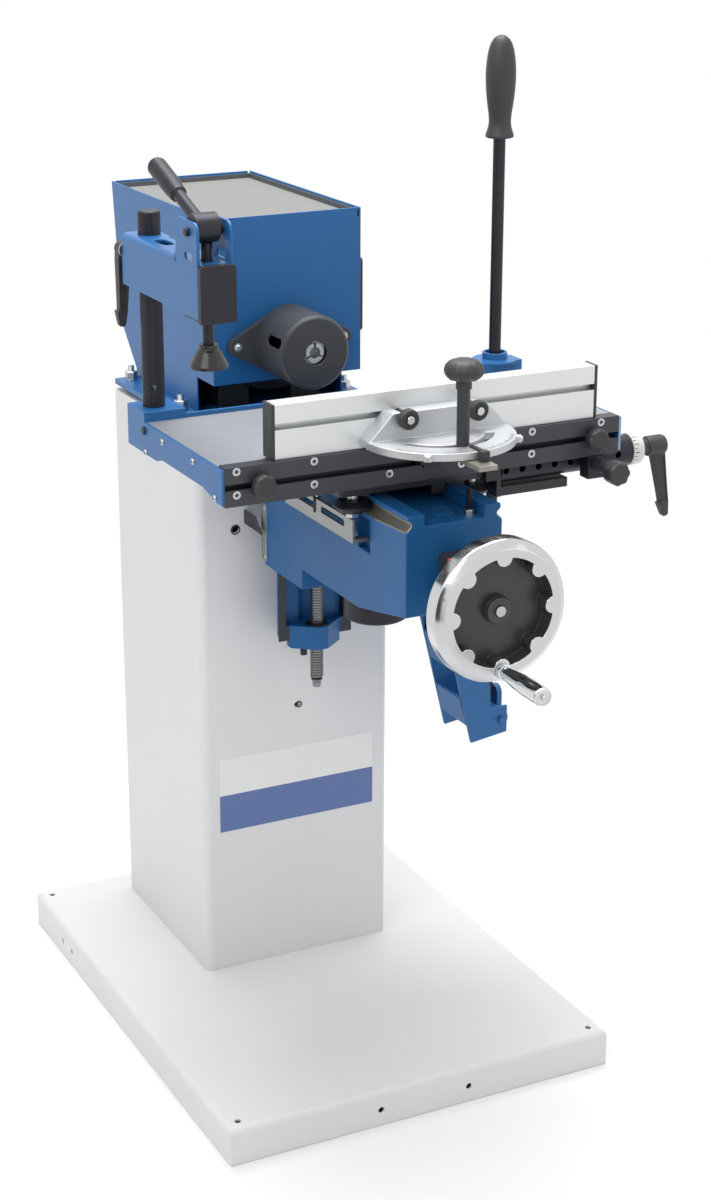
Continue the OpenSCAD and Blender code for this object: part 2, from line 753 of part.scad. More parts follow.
// Two ways with a channel between, a stem to the column and the nut's boss at the foot
module slide_base() {
    neck = way_half_w - way_undercut;
    floor_t = 8;
    gear_groove = 38;
    boss_z0 = slide_z0 - nut_boss_drop;
    color("#5d7f9f") difference() {
        union() {
            translate([0, 0, slide_z0]) linear_extrude(slide_z1 - slide_z0) {
                translate([-neck, way_neck_y]) square([2 * neck, floor_t]);
                translate([-stem_half_w, way_neck_y]) square([2 * stem_half_w, column_front_y - way_neck_y]);
                way_profile(0);
            }
            translate([0, screw_y, boss_z0]) linear_extrude(nut_boss_h)
                for (m = [0, 1]) mirror([m, 0]) polygon([[-1, column_front_y - screw_y],
                    [stem_half_w, column_front_y - screw_y], [stem_half_w, way_neck_y - screw_y],
                    [nut_boss_w / 2, way_neck_y - screw_y - 4], [nut_boss_w / 2, way_front_y - screw_y],
                    [nut_boss_front / 2, -nut_boss_reach], [-1, -nut_boss_reach]]);
        }
        box([-channel_half_w, way_front_y - eps, boss_z0 + nut_boss_h],
            [channel_half_w, way_front_y + channel_depth, slide_z1 + eps]);
        box([-gear_groove / 2, way_front_y, boss_z0 + nut_boss_h],
            [gear_groove / 2, way_neck_y + floor_t + 2, slide_z1 + eps]);
        translate([0, screw_y, 0]) rod_z(nut_d, boss_z0 - eps, boss_z0 + nut_boss_h + eps);
    }
}

module feed_nut() {
    boss_z0 = slide_z0 - nut_boss_drop;
    color("#b08d4a") translate([0, screw_y, 0]) difference() {
        rod_z(nut_d, boss_z0, boss_z0 + nut_boss_h);
        rod_z(screw_d + 2 * run_gap, boss_z0 - eps, boss_z0 + nut_boss_h + eps);
    }
}

module switch_box() {
    x0 = hood_w / 2;
    color("#2a2c2e") difference() {
        translate([x0, switch_y, switch_z]) rotate([90, 0, 90]) linear_extrude(switch_depth)
            round_rect(switch_w, switch_h, 6);
        for (z = [-1, 1])
            translate([0, switch_y, switch_z + z * switch_h / 4])
                rod_x(button_d + 1, x0 + switch_depth - 14, x0 + switch_depth + eps);
        translate([0, switch_y, switch_z - switch_h / 2 - eps]) translate([x0 + switch_depth / 2, 0, 0])
            rod_z(16, 0, 18);
    }
}

module push_button(side, proud) {
    x1 = hood_w / 2 + switch_depth + proud;
    translate([0, switch_y, switch_z + side * switch_h / 4])
        rod_x(button_d, hood_w / 2 + switch_depth - 14 + button_travel + 1, x1);
}

module start_button() { color("#2f8f4e") push_button(1, 3); }
module stop_button() { color("#c22a22") push_button(-1, 7); }

module spindle_shaft() {
    color("#a9adb0") translate([0, 0, spindle_z])
        rod_y(spindle_d, chuck_back_y - 18, motor_y0 + motor_l / 2 - 2);
}

module chuck_body() {
    sleeve = chuck_l * 0.55;
    color("#8f9498") translate([0, 0, spindle_z]) difference() {
        translate([0, chuck_front_y, 0]) turned_back([[0, 0], [chuck_d * 0.31, 0], [chuck_d * 0.42, 10],
            [chuck_d / 2, chuck_l - sleeve], [chuck_d / 2, chuck_l - 8], [chuck_d * 0.4, chuck_l - 8],
            [chuck_d * 0.4, chuck_l], [0, chuck_l]]);
        rod_y(spindle_d, chuck_back_y - 18, chuck_back_y + eps);
        rod_y(chuck_bore_d + 12, chuck_front_y - eps, chuck_front_y + 24);
    }
}

// Three jaws round the bit, parted by slots
module chuck_jaws() {
    color("#d5d8da") translate([0, 0, spindle_z]) difference() {
        rod_y(chuck_bore_d + 12, chuck_front_y - 3, chuck_front_y + 24);
        rod_y(chuck_bore_d, chuck_front_y - 5, chuck_front_y + 30);
        for (a = [30, 150, 270]) rotate([0, a, 0])
            box([0, chuck_front_y - 5, -1.5], [chuck_d, chuck_front_y + 30, 1.5]);
    }
}

// Side outline of the knee
function knee_side() = [
    [knee_back_y, knee_rear_z0], [knee_back_y - knee_rear_l, knee_rear_z0],
    [knee_back_y - knee_rear_l, knee_mid_z0], [knee_rise_y, knee_mid_z0],
    [knee_front_y, knee_mid_z0 + knee_rise], [knee_front_y, knee_top_z], [knee_back_y, knee_top_z]];

// Plan of the knee, drawn in a little at the front
function knee_plan() = [
    [-knee_w / 2, knee_back_y + 1], [-knee_w / 2, knee_facet_y],
    [-knee_w / 2 + knee_facet, knee_front_y], [knee_w / 2 - knee_facet, knee_front_y],
    [knee_w / 2, knee_facet_y], [knee_w / 2, knee_back_y + 1]];

// Front outline of the knee with a V way on each side
function knee_half() = [
    [knee_w / 2, knee_rear_z0 - 1], [knee_w / 2, shoulder_z], [vee_half_w, vee_z],
    [vee_half_w + vee_upper, vee_z + vee_upper], [vee_half_w + vee_upper, knee_top_z + 1]];

module knee_section() {
    half = knee_half();
    polygon(concat(half, [for (i = [len(half) - 1:-1:0]) [-half[i][0], half[i][1]]]));
}

module knee_casting() {
    void_back = knee_back_y - knee_rear_l - knee_wall;
    color("#3d6a9c") difference() {
        intersection() {
            along_x(-knee_w, knee_w) polygon(knee_side());
            along_y(knee_front_y - 1, knee_back_y + 1) knee_section();
            linear_extrude(knee_top_z + 1) polygon(knee_plan());
        }
        translate([-knee_w / 2, rail_front_end, rail_foot_z])
            box([-eps, -knee_pocket_l * 0.55, -knee_pocket],
                [knee_pocket, knee_pocket_l * 0.45, knee_pocket_l]);
        box([-knee_channel_half_w, knee_front_y - eps, deck_z],
            [knee_channel_half_w, knee_back_y + eps, knee_top_z + eps]);
        along_x(-vee_half_w + knee_wall - 5, vee_half_w - knee_wall + 5) polygon([
            [void_back, knee_mid_z0 + knee_wall], [knee_rise_y, knee_mid_z0 + knee_wall],
            [knee_front_y + 18, knee_mid_z0 + knee_rise + knee_wall - 3],
            [knee_front_y + 18, deck_z - knee_wall],
            [void_back, deck_z - knee_wall]]);
        translate([0, 0, knee_rear_z0 - eps]) linear_extrude(knee_top_z) way_profile(slide_gap);
        box([-channel_half_w + 8, pocket_y0, pocket_z0],
            [channel_half_w - 8, way_front_y, wheel_z + gear_back + 4]);
        translate([0, screw_y, 0]) rod_z(screw_d + 2 * run_gap, knee_rear_z0 - eps, pocket_z0 + eps);
        translate([0, 0, wheel_z]) rod_y(shaft_d + 2 * run_gap, knee_front_y - eps, pocket_y0 + eps);
    }
}

// Two plates down to the yoke, with the web that bolts to the knee
module lever_bracket() {
    x0 = knee_w / 2;
    edge_lean = 43 / 178;
    outline = [[x0, knee_mid_z0 + 54], [x0, knee_rear_z0 + 8], [lever_x - 135, knee_rear_z0 - 2],
        [lever_x - 93, yoke_z + 150], [lever_x - 50, yoke_z - 28], [lever_x + 10, yoke_z - 20],
        [lever_x + 10, yoke_z + 22], [lever_x - 18, yoke_z + 22], [lever_x - 20, yoke_z + 56],
        [lever_x - 40, yoke_z + 130],
        [lever_x - 80, knee_mid_z0 + 4], [lever_x - 118, knee_mid_z0 + 54]];
    color("#3a669a") {
        difference() {
            for (y = [lever_y + bracket_half, lever_y - bracket_half - bracket_t])
                along_y(y, y + bracket_t) polygon(outline);
            translate([lever_x, 0, yoke_z])
                rod_y(yoke_pin_d, lever_y - bracket_half * 2, lever_y + bracket_half * 2);
        }
        box([x0, lever_y - bracket_half, knee_rear_z0 + 8],
            [x0 + bracket_t, lever_y + bracket_half, knee_mid_z0 + 54]);
        for (up = [27, 115]) translate([-up * edge_lean, 0, up])
            along_y(lever_y - bracket_half, lever_y + bracket_half) polygon([
                [lever_x - 50, yoke_z - 28], [lever_x - 50 + bracket_t, yoke_z - 28],
                [lever_x - 50 + bracket_t - bracket_web_l * edge_lean, yoke_z - 28 + bracket_web_l],
                [lever_x - 50 - bracket_web_l * edge_lean, yoke_z - 28 + bracket_web_l]]);
        translate([lever_x, 0, yoke_z])
            rod_y(yoke_pin_d, lever_y - bracket_half - bracket_t - 6,
                lever_y + bracket_half + bracket_t + 6);
    }
}

// Slotted strip along the knee's left side, on a foot at each end
module stop_rail() {
    foot_l = 24;
    foot_t = 5;
    rail_y1 = rail_front_end + stop_rail_l;
    x1 = -knee_w / 2;
    slot_z = rail_foot_z + stop_rail_h * 0.66;
    color("#c4c8ca") difference() {
        union() {
            box([x1 - stop_rail_out - stop_rail_t, rail_front_end, rail_foot_z],
                [x1 - stop_rail_out, rail_y1, rail_foot_z + stop_rail_h]);
            box([x1 - stop_rail_out - 1, rail_front_end, rail_foot_z],
                [x1 + knee_pocket, rail_front_end + knee_pocket_l * 0.4, rail_foot_z + foot_t]);
            box([x1 - stop_rail_out - 1, rail_y1 - foot_l, rail_foot_z],
                [x1, rail_y1, rail_foot_z + foot_t]);
        }
        along_x(x1 - stop_rail_out - stop_rail_t - eps, x1 - stop_rail_out + eps)
            for (y = [rail_front_end + 24, rail_y1 - stop_slot_l - 24]) translate([y, slot_z]) {
                translate([stop_slot_w / 2, -stop_slot_w / 2])
                    square([stop_slot_l - stop_slot_w, stop_slot_w]);
                for (end = [stop_slot_w / 2, stop_slot_l - stop_slot_w / 2])
                    translate([end, 0]) circle(d = stop_slot_w);
            }
    }
}

module bottom_drum() {
    color("#2f3133") translate([0, knee_front_y + drum_back, knee_mid_z0 - drum_l])
        turned_z([[0, 0], [drum_d / 2 - 4, 0], [drum_d / 2, 3], [drum_d / 2, drum_l], [0, drum_l]]);
}

// Counter block on the knee's front with the shaft through it
module height_counter() {
    step = counter_depth * 0.55;
    color("#232527") difference() {
        union() {
            along_y(knee_front_y - step, knee_front_y)
                translate([0, wheel_z + 7]) round_rect(counter_w, counter_h, 6);
            along_y(knee_front_y - counter_depth, knee_front_y - step)
                translate([0, wheel_z + 4]) round_rect(counter_w - 12, counter_h - 18, 8);
        }
        translate([0, 0, wheel_z])
            rod_y(shaft_d + 1, knee_front_y - counter_depth - eps, knee_front_y + eps);
    }
}

module lead_screw() {
    color("#9da1a4") translate([0, screw_y, 0]) {
        rod_z(screw_d, screw_z0, wheel_z - gear_back - gear_hub_l);
        rod_z(screw_d - 4, wheel_z - gear_back - gear_hub_l - 1, wheel_z - gear_back + 9);
    }
}

// Straight bevel gear on the Z axis, its cone's tip at the origin, its hub below
module bevel_gear(bore) {
    tip = 2;
    root = 2.6;
    inner = gear_cone - gear_face;
    c = sqrt(0.5);
    share = inner / gear_cone;
    pitch = 360 / gear_teeth;
    groove = 0.62 * PI * 2 * gear_r / gear_teeth;
    difference() {
        rotate_extrude() polygon([
            [bore / 2, -gear_back - gear_hub_l], [gear_r * 0.66, -gear_back - gear_hub_l],
            [gear_r * 0.66, -gear_back], [(gear_cone - root) * c, -gear_back],
            [(gear_cone + tip) * c, -(gear_cone - tip) * c],
            [(gear_cone + tip) * c * share, -(gear_cone - tip) * c * share],
            [bore / 2, -(gear_cone - tip) * c * share]]);
        for (i = [0:gear_teeth - 1]) rotate([0, 0, i * pitch]) rotate([0, 45, 0])
            translate([0, 0, -root]) linear_extrude(2 * tip + root) polygon([
                [inner - 6, -groove / 2 * (inner - 6) / gear_cone],
                [gear_cone + 8, -groove / 2 * (gear_cone + 8) / gear_cone],
                [gear_cone + 8, groove / 2 * (gear_cone + 8) / gear_cone],
                [inner - 6, groove / 2 * (inner - 6) / gear_cone]]);
    }
}

module screw_gear() {
    color("#7e8386") translate([0, screw_y, wheel_z]) bevel_gear(screw_d - 4);
}

// Half a tooth on from the other gear, so teeth and grooves meet
module shaft_gear() {
    color("#7e8386") translate([0, screw_y, wheel_z]) rotate([-90, 0, 0]) rotate([0, 0, 180 / gear_teeth])
        bevel_gear(shaft_d - 4);
}

module handwheel_shaft() {
    hub_y = wheel_front_y + dish_depth - 12;
    color("#c2c5c7") translate([0, 0, wheel_z]) {
        rod_y(shaft_d, wheel_back_y, screw_y - gear_back - gear_hub_l);
        rod_y(shaft_d - 4, screw_y - gear_back - gear_hub_l - 1, screw_y - gear_back + 9);
        rod_y(shaft_d - 6, hub_y - 4, wheel_back_y + 1);
    }
}

// Wheel's opening: a circle with eight rounded lobes left standing
module wheel_opening() {
    difference() {
        circle(wheel_open_r);
        for (i = [0:7]) rotate(i * 45) translate([wheel_open_r, 0]) circle(lobe_r);
    }
}

module handwheel() {
    r = wheel_d / 2;
    floor_y = wheel_front_y + dish_depth;
    color("#d0d3d5") translate([0, 0, wheel_z]) difference() {
        union() {
            translate([0, wheel_front_y, 0]) turned_back([[0, 0], [r - 11, 0], [r - 1.5, 8], [r, 11],
                [r, wheel_depth - 5], [r - 3, wheel_depth - 2], [wheel_open_r - 6, wheel_depth - 2],
                [hub_r + 10, wheel_depth - 6], [hub_r + 4, wheel_depth], [0, wheel_depth]]);
        }
        along_y(wheel_front_y - eps, floor_y) difference() {
            wheel_opening();
            circle(hub_r);
            translate([0, -crank_r]) circle(crank_pin_d * 1.6);
        }
        rod_y(hub_r * 2 + 1, wheel_front_y - eps, floor_y - 12);
        rod_y(shaft_d - 6, wheel_front_y - eps, wheel_back_y + eps);
    }
    color("#b9bdc0") translate([0, 0, wheel_z - crank_r])
        rod_y(crank_pin_d, wheel_front_y - grip_l - 4, wheel_front_y + 1);
}

// Turned grip that spins on the crank's pin
module crank_grip() {
    r = grip_d / 2;
    color("#d9dcde") translate([0, wheel_front_y - small_gap - grip_l, wheel_z - crank_r]) difference() {
        turned_back([[0, 0], [r * 0.8, 0], [r * 0.96, 2], [r, grip_l * 0.2], [r * 0.92, grip_l * 0.5],
            [r * 0.7, grip_l * 0.82], [r * 0.64, grip_l * 0.88], [r * 0.84, grip_l * 0.91],
            [r * 0.84, grip_l - 2], [r * 0.7, grip_l], [0, grip_l]]);
        rod_y(crank_pin_d + 2 * run_gap, -eps, grip_l + eps);
    }
}

module at_rollers() {
    for (x = [-1, 1], y = [roller_front_y, roller_rear_y]) translate([x * roller_x, y, 0]) children();
}

// Saddle: plate, cross dovetail, stop block and the index tube's arm
module saddle_plate() {
    leg_x = roller_x + roller_r + 1.5;
    bar_z0 = tube_z - tube_d / 2 - 15;
    bar_z1 = tube_z - tube_d / 2 - 2;
    half = 18;
    color("#53585c") difference() {
        union() {
            translate([0, (saddle_front_y + saddle_back_y) / 2, saddle_z0]) linear_extrude(saddle_t)
                round_rect(saddle_half_w * 2, saddle_back_y - saddle_front_y, 5);
            along_x(-saddle_half_w, saddle_half_w) polygon([
                [cross_y - cross_foot, saddle_z1 - 1], [cross_y - cross_foot, saddle_z1],
                [cross_y - cross_foot - cross_flare, cross_z1],
                [cross_y + cross_foot + cross_flare, cross_z1],
                [cross_y + cross_foot, saddle_z1], [cross_y + cross_foot, saddle_z1 - 1]]);
            box([20, saddle_front_y - 2, deck_z + 7], [40, saddle_front_y + 16, saddle_z0 + 1]);
            box([tube_block_x, tube_y - half, saddle_z0 - 4], [leg_x + 1, tube_y + half, tube_z + 17]);
            box([leg_x, tube_y - half, bar_z0], [tube_x0, tube_y + half, tube_z + 17]);
            box([leg_x, tube_y - half + 2, bar_z0], [leg_x + 111, tube_y + half - 2, bar_z1]);
        }
        at_rollers() rod_z(roller_bolt_d, saddle_z0 - eps, saddle_z1 + eps);
        translate([0, tube_y, tube_z]) rod_x(spigot_d + 2 * run_gap, tube_block_x - eps, tube_x0 + eps);
        at_rollers() rod_z(roller_r * 2 + 2, saddle_z0 - 30, saddle_z0 - 4.5);
    }
}

module vee_roller(side, y) {
    h = roller_t / 2;
    color("#6c7073") translate([side * roller_x, y, vee_z]) difference() {
        turned_z([[0, -h], [roller_r - h + 1, -h], [roller_r, -1], [roller_r, 1],
            [roller_r - h + 1, h], [0, h]]);
        rod_z(roller_bolt_d + 2 * run_gap, -h - eps, h + eps);
    }
}

module roller_front_left() { vee_roller(-1, roller_front_y); }
module roller_front_right() { vee_roller(1, roller_front_y); }
module roller_rear_left() { vee_roller(-1, roller_rear_y); }
module roller_rear_right() { vee_roller(1, roller_rear_y); }

// Shoulder bolts in the saddle, each with a collar and a lock nut under the roller
module roller_bolts() {
    top = vee_z + roller_t / 2 + small_gap;
    under = vee_z - roller_t / 2 - small_gap;
    color("#c3c6c8") at_rollers() {
        rod_z(roller_bolt_d, under - 2, saddle_z1);
        rod_z(roller_bolt_d * 1.7, top, saddle_z0);
        translate([0, 0, under - 7]) cylinder(d = roller_bolt_d * 1.9, h = 7, $fn = 6);
    }
}

// Tube with three rows of index holes
module index_tube() {
    count = floor((tube_l - 2 * index_first) / index_pitch);
    color("#4c5053") translate([0, tube_y, tube_z]) difference() {
        union() {
            rod_x(tube_d, tube_x0, tube_x1);
            rod_x(spigot_d, tube_block_x + 1, tube_x0 + 1);
        }
        rod_x(tube_d - 2 * tube_wall, tube_x0 + 8, tube_x1 - 8);
        for (row = [0:2], i = [0:count])
            if (row == 0 || i % (row + 1) == 0)
                translate([tube_x0 + index_first + i * index_pitch, 0, 0]) rotate([row * 120, 0, 0])
                    rod_y(index_hole_d, -tube_d, -tube_d / 2 + tube_wall + 2);
    }
}

module index_ring() {
    color("#ececea") translate([0, tube_y, tube_z]) {
        rod_x(ring_d, tube_x1, ring_x1 - 2);
        rod_x(ring_d - 4, ring_x1 - 2, ring_x1);
    }
}

// Lever on the ring's end: hub, bent arm and ball-ended handle
module tube_clamp_lever() {
    hub_l = 44;
    color("#202224") translate([ring_x1, tube_y, tube_z]) {
        rotate([0, 90, 0]) turned_z([[0, 0.1], [16, 0.1], [16, 3], [12, 6], [10, hub_l * 0.6],
            [12, hub_l * 0.66], [12, hub_l - 2], [10, hub_l], [0, hub_l]]);
        translate([hub_l * 0.82, 0, 0]) rotate([0, 171, 0]) turned_z([[0, 0], [9, 6],
            [7, clamp_lever_l * 0.3], [9, clamp_lever_l * 0.7], [9, clamp_lever_l - 3],
            [7, clamp_lever_l], [0, clamp_lever_l]]);
    }
}

// Surface plate with the two dovetail gibs that slide on the saddle
module table_top() {
    gib_half = table_x1 - 100;
    gib_lift = 3;
    gib_out = cross_foot + cross_flare + 24;
    gib_in = cross_foot + cross_flare + slide_gap + 0.1;
    gib_foot = gib_in - cross_flare * (1 - gib_lift / cross_h);
    color("#c6c9ca") {
        box([-table_x1 + side_sheet, table_front_y, table_z0],
            [table_x1 - side_sheet, table_back_y, table_z]);
        for (side = [-1, 1])
            along_x(-gib_half, gib_half) polygon([
                [cross_y + side * gib_foot, saddle_z1 + gib_lift],
                [cross_y + side * gib_in, cross_z1 + slide_gap],
                [cross_y + side * gib_in, table_z0],
                [cross_y + side * gib_out, table_z0],
                [cross_y + side * gib_out, saddle_z1 + gib_lift]]);
        box([-gib_half, cross_y - gib_out, cross_z1 + slide_gap],
            [gib_half, cross_y + gib_out, table_z0]);
    }
}

// Left side plate with the clamp seat, and the lip behind the surface
module side_frame() {
    x0 = -table_x1;
    back = post_y + 29;
    color("#4a7ab0") difference() {
        union() {
            along_x(x0, x0 + side_sheet) polygon([[rail_front_y, side_z0], [table_front_y, side_z0],
                [table_front_y + 40, side_z0 + 9], [table_back_y - 60, side_z0 + 9],
                [table_back_y - 40, side_z0 + 3],
                [back, side_z0 + 3], [back, seat_z], [table_back_y + side_sheet, seat_z],
                [table_back_y + side_sheet, table_z + lip_h], [table_back_y, table_z + lip_h],
                [table_back_y, table_z], [rail_front_y, table_z]]);
            box([x0, table_back_y, side_z0 + 12], [table_x1, table_back_y + side_sheet, table_z + lip_h]);
            box([x0, table_back_y, seat_z - 6], [x0 + 60, back, seat_z]);
            box([x0, back - side_sheet, side_z0 + 3], [x0 + 60, back, seat_z]);
            box([x0, table_back_y, table_z], [x0 + 60, table_back_y + side_sheet, seat_z]);
        }
        translate([post_x, post_y, 0]) rod_z(12 + 2 * run_gap, seat_z - 20, seat_z + eps);
    }
}

module right_side_plate() {
    notch = ring_d / 2 + 2;
    color("#8aa0b6") along_x(table_x1 - side_sheet, table_x1) difference() {
        translate([rail_front_y, side_z0]) square([table_back_y - rail_front_y, table_z - side_z0]);
        translate([tube_y - notch, side_z0 - eps]) square([2 * notch, tube_z + notch - side_z0 + eps]);
    }
}

// Extruded rail with a T slot along its front
module front_rail() {
    color("#2b2d2f") along_x(-table_x1 + side_sheet, table_x1 - side_sheet) difference() {
        translate([rail_front_y, rail_z0]) square([rail_depth, rail_top_z - rail_z0]);
        translate([rail_front_y - eps, rail_slot_z - rail_slot / 2]) square([rail_lip + 2 * eps, rail_slot]);
        translate([rail_front_y + rail_lip, rail_slot_z - rail_inner])
            square([rail_inner_d, 2 * rail_inner]);
        translate([table_front_y, table_z]) square([1, rail_over + eps]);
    }
}

// T nut, neck and plate that ride in the rail's slot
module slot_rider(x, half_w, front) {
    y0 = rail_front_y;
    box([x - half_w, y0 + rail_lip + slide_gap, rail_slot_z - rail_inner + 1],
        [x + half_w, y0 + rail_lip + rail_inner_d - 1, rail_slot_z + rail_inner - 1]);
    box([x - half_w + 2, front, rail_slot_z - rail_slot / 2 + slide_gap],
        [x + half_w - 2, y0 + rail_lip + 1, rail_slot_z + rail_slot / 2 - slide_gap]);
}

module stop_knob(x) {
    r = stop_knob_d / 2;
    face = rail_front_y - slide_gap;
    color("#1e2022") {
        slot_rider(x, 9, face - 1);
        translate([x, face - 18, rail_slot_z]) turned_back([[0, 0], [r - 3, 0], [r, 3], [r, 11],
            [r - 4, 13], [r * 0.55, 14], [r * 0.55, 18], [0, 18]]);
    }
}

module left_stop_knob() { stop_knob(stop_left_x); }
module right_stop_knob() { stop_knob(stop_right_x); }

// Bent plate with the ring that the lever passes through
module lever_guide() {
    half = 32;
    t = side_sheet;
    y0 = table_back_y + side_sheet;
    color("#3f70a8") difference() {
        union() {
            box([lever_x - half, y0, table_z - 30], [lever_x + half, y0 + t, guide_z]);
            translate([lever_x, 0, guide_z - t]) linear_extrude(t) {
                translate([-half, y0]) square([2 * half, lever_y - y0]);
                translate([0, lever_y]) circle(half);
            }
            translate([lever_x, lever_y, 0]) rod_z(guide_hole_d + 8, guide_z - t, guide_z + 10);
        }
        translate([lever_x, lever_y, 0]) rod_z(guide_hole_d, guide_z - 20, guide_z + 20);
    }
}

// Block under the front rail that holds the index plunger
module plunger_bracket() {
    half = 13;
    y0 = rail_front_y - 2;
    color("#2e3133") difference() {
        box([plunger_x - half, y0, tube_z - 20], [plunger_x + half, table_front_y - 0.5, rail_z0]);
        translate([plunger_x, 0, tube_z]) rod_y(12 + 2 * run_gap, y0 - eps, table_front_y + eps);
    }
}

// Plunger with a turned knob, its tip just clear of the index tube
module index_plunger() {
    y0 = rail_front_y - 2;
    tip_y = tube_y - tube_d / 2 - 0.6;
    color("#25272a") translate([plunger_x, 0, tube_z]) {
        rod_y(index_hole_d - 1, table_front_y - 2, tip_y);
        rod_y(12, y0 - 14, table_front_y - 1);
        translate([0, y0 - 58, 0]) turned_back([[0, 0], [13, 0], [15.5, 3], [15.5, 20], [12, 24], [9, 30],
            [8, 50], [8, 57.5], [0, 57.5]]);
    }
}

// Base in the rail's slot, pivot and arm under the disc
module mitre_base() {
    rider_half = 19;
    half = 13;
    block_t = 5;
    front = rail_front_y - slide_gap - block_t;
    color("#44484b") {
        slot_rider(gauge_x, rider_half, front + 1);
        box([gauge_x - half, front, rail_slot_z - 7],
            [gauge_x + half, front + block_t, base_arm_z0 + base_arm_t]);
        translate([gauge_x, 0, base_arm_z0]) linear_extrude(base_arm_t) {
            translate([-half, lock_y]) square([2 * half, front + block_t - lock_y]);
            translate([0, lock_y]) circle(half);
        }
        translate([gauge_x, gauge_y, 0]) rod_z(12, base_arm_z0, disc_z1);
    }
}

// Cast gauge: half disc with an arc slot, web against the fence with a slot for each knob's rod
module mitre_gauge() {
    base_half = gauge_r * 0.99;
    top_half = gauge_r * 0.66;
    rod_slot = 9;
    color("#c9cccd") difference() {
        union() {
            translate([gauge_x, gauge_y, disc_z0]) linear_extrude(gauge_t) {
                difference() {
                    circle(gauge_r);
                    translate([-gauge_r - 1, 0]) square([2 * gauge_r + 2, gauge_r + 1]);
                }
                translate([-base_half, -1]) square([2 * base_half, gauge_pivot + 1]);
            }
            along_y(fence_front_y - web_depth, fence_front_y) translate([gauge_x, 0])
                polygon([[-base_half, disc_z1 - 1], [base_half, disc_z1 - 1], [base_half, disc_z1],
                    [top_half, web_z1], [-top_half, web_z1], [-base_half, disc_z1]]);
        }
        along_y(fence_front_y - web_depth + web_wall, fence_front_y + eps) translate([gauge_x, 0])
            polygon([[-base_half + 3 * web_wall, disc_z1 + 3], [base_half - 3 * web_wall, disc_z1 + 3],
                [top_half, thumb_z - web_wall], [-top_half, thumb_z - web_wall]]);
        translate([gauge_x, gauge_y, 0]) {
            rod_z(12 + 2 * run_gap, disc_z0 - eps, disc_z1 + eps);
            translate([0, 0, disc_z0 - eps]) linear_extrude(gauge_t + 2 * eps) difference() {
                circle(arc_slot_r + arc_slot_w / 2);
                circle(arc_slot_r - arc_slot_w / 2);
                for (m = [0, 1]) mirror([m, 0])
                    polygon([[0, 0], [gauge_r, -gauge_r * tan(90 - arc_half)], [gauge_r, gauge_r],
                        [0, gauge_r]]);
            }
        }
        for (x = [-1, 1]) translate([gauge_x + x * thumb_x, 0, thumb_z]) {
            rod_y(rod_slot, fence_front_y - web_depth - eps, fence_front_y + eps);
            box([-rod_slot / 2, fence_front_y - web_depth - eps, 0],
                [rod_slot / 2, fence_front_y + eps, web_h]);
        }
    }
}

// Stud through the arc slot, post and mushroom knob
module gauge_lock_knob() {
    r = mushroom_d / 2;
    z1 = disc_z1 + 0.3;
    color("#1f2123") translate([gauge_x, lock_y, 0]) {
        rod_z(8, base_arm_z0 + base_arm_t, z1 + 1);
        turned_z([[0, z1], [lock_post_d / 2, z1], [lock_post_d / 2, z1 + lock_post_h - 12],
            [lock_post_d / 2 + 2, z1 + lock_post_h - 11], [lock_post_d / 2 + 2, z1 + lock_post_h],
            [r * 0.8, z1 + lock_post_h + 4], [r, z1 + lock_post_h + 11], [r, z1 + lock_post_h + 16],
            [r * 0.8, z1 + lock_post_h + 23], [r * 0.4, z1 + lock_post_h + 27], [0, z1 + lock_post_h + 28]]);
    }
}

// Fence extrusion with a T groove on its front
module fence_profile() {
    z0 = fence_z0;
    wall = 3;
    color("#d3d6d7") along_x(gauge_x - fence_left, gauge_x + fence_right)
        translate([fence_front_y, z0]) difference() {
            square([fence_depth, fence_h]);
            translate([-eps, thumb_z - z0 - fence_slot / 2]) square([wall + 2 * eps, fence_slot]);
            translate([wall, thumb_z - z0 - 8]) square([8, 16]);
            translate([wall, wall]) square([fence_depth - 2 * wall, thumb_z - z0 - 8 - 2 * wall]);
            translate([wall, thumb_z - z0 + 8 + wall])
                square([fence_depth - 2 * wall, fence_h - (thumb_z - z0) - 8 - 2 * wall]);
        }
}

// Two knobs with bolts through the web to nuts in the fence's groove
module thumb_knobs() {
    r = thumb_d / 2;
    face = fence_front_y - web_depth;
    color("#1c1e20") for (x = [-1, 1]) translate([gauge_x + x * thumb_x, 0, thumb_z]) {
        rod_y(6, face - 1, fence_front_y + 5);
        rod_y(13, fence_front_y + 3, fence_front_y + 9);
        translate([0, face - 17, 0]) turned_back([[0, 0], [r - 2, 0], [r, 2], [r, 11], [r - 2, 13],
            [5, 13], [5, 17], [0, 17]]);
    }
}

module clamp_post() {
    color("#c5c8ca") translate([post_x, post_y, 0]) difference() {
        union() {
            turned_z([[0, seat_z], [post_d / 2, seat_z], [post_d / 2, seat_z + post_h - 2],
                [post_d / 2 - 2, seat_z + post_h], [0, seat_z + post_h]]);
            rod_z(12, seat_z - 6, seat_z + 1);
        }
        translate([0, 0, seat_z + 27]) rotate([0, 0, -20]) rod_y(8, -post_d, post_d);
    }
}

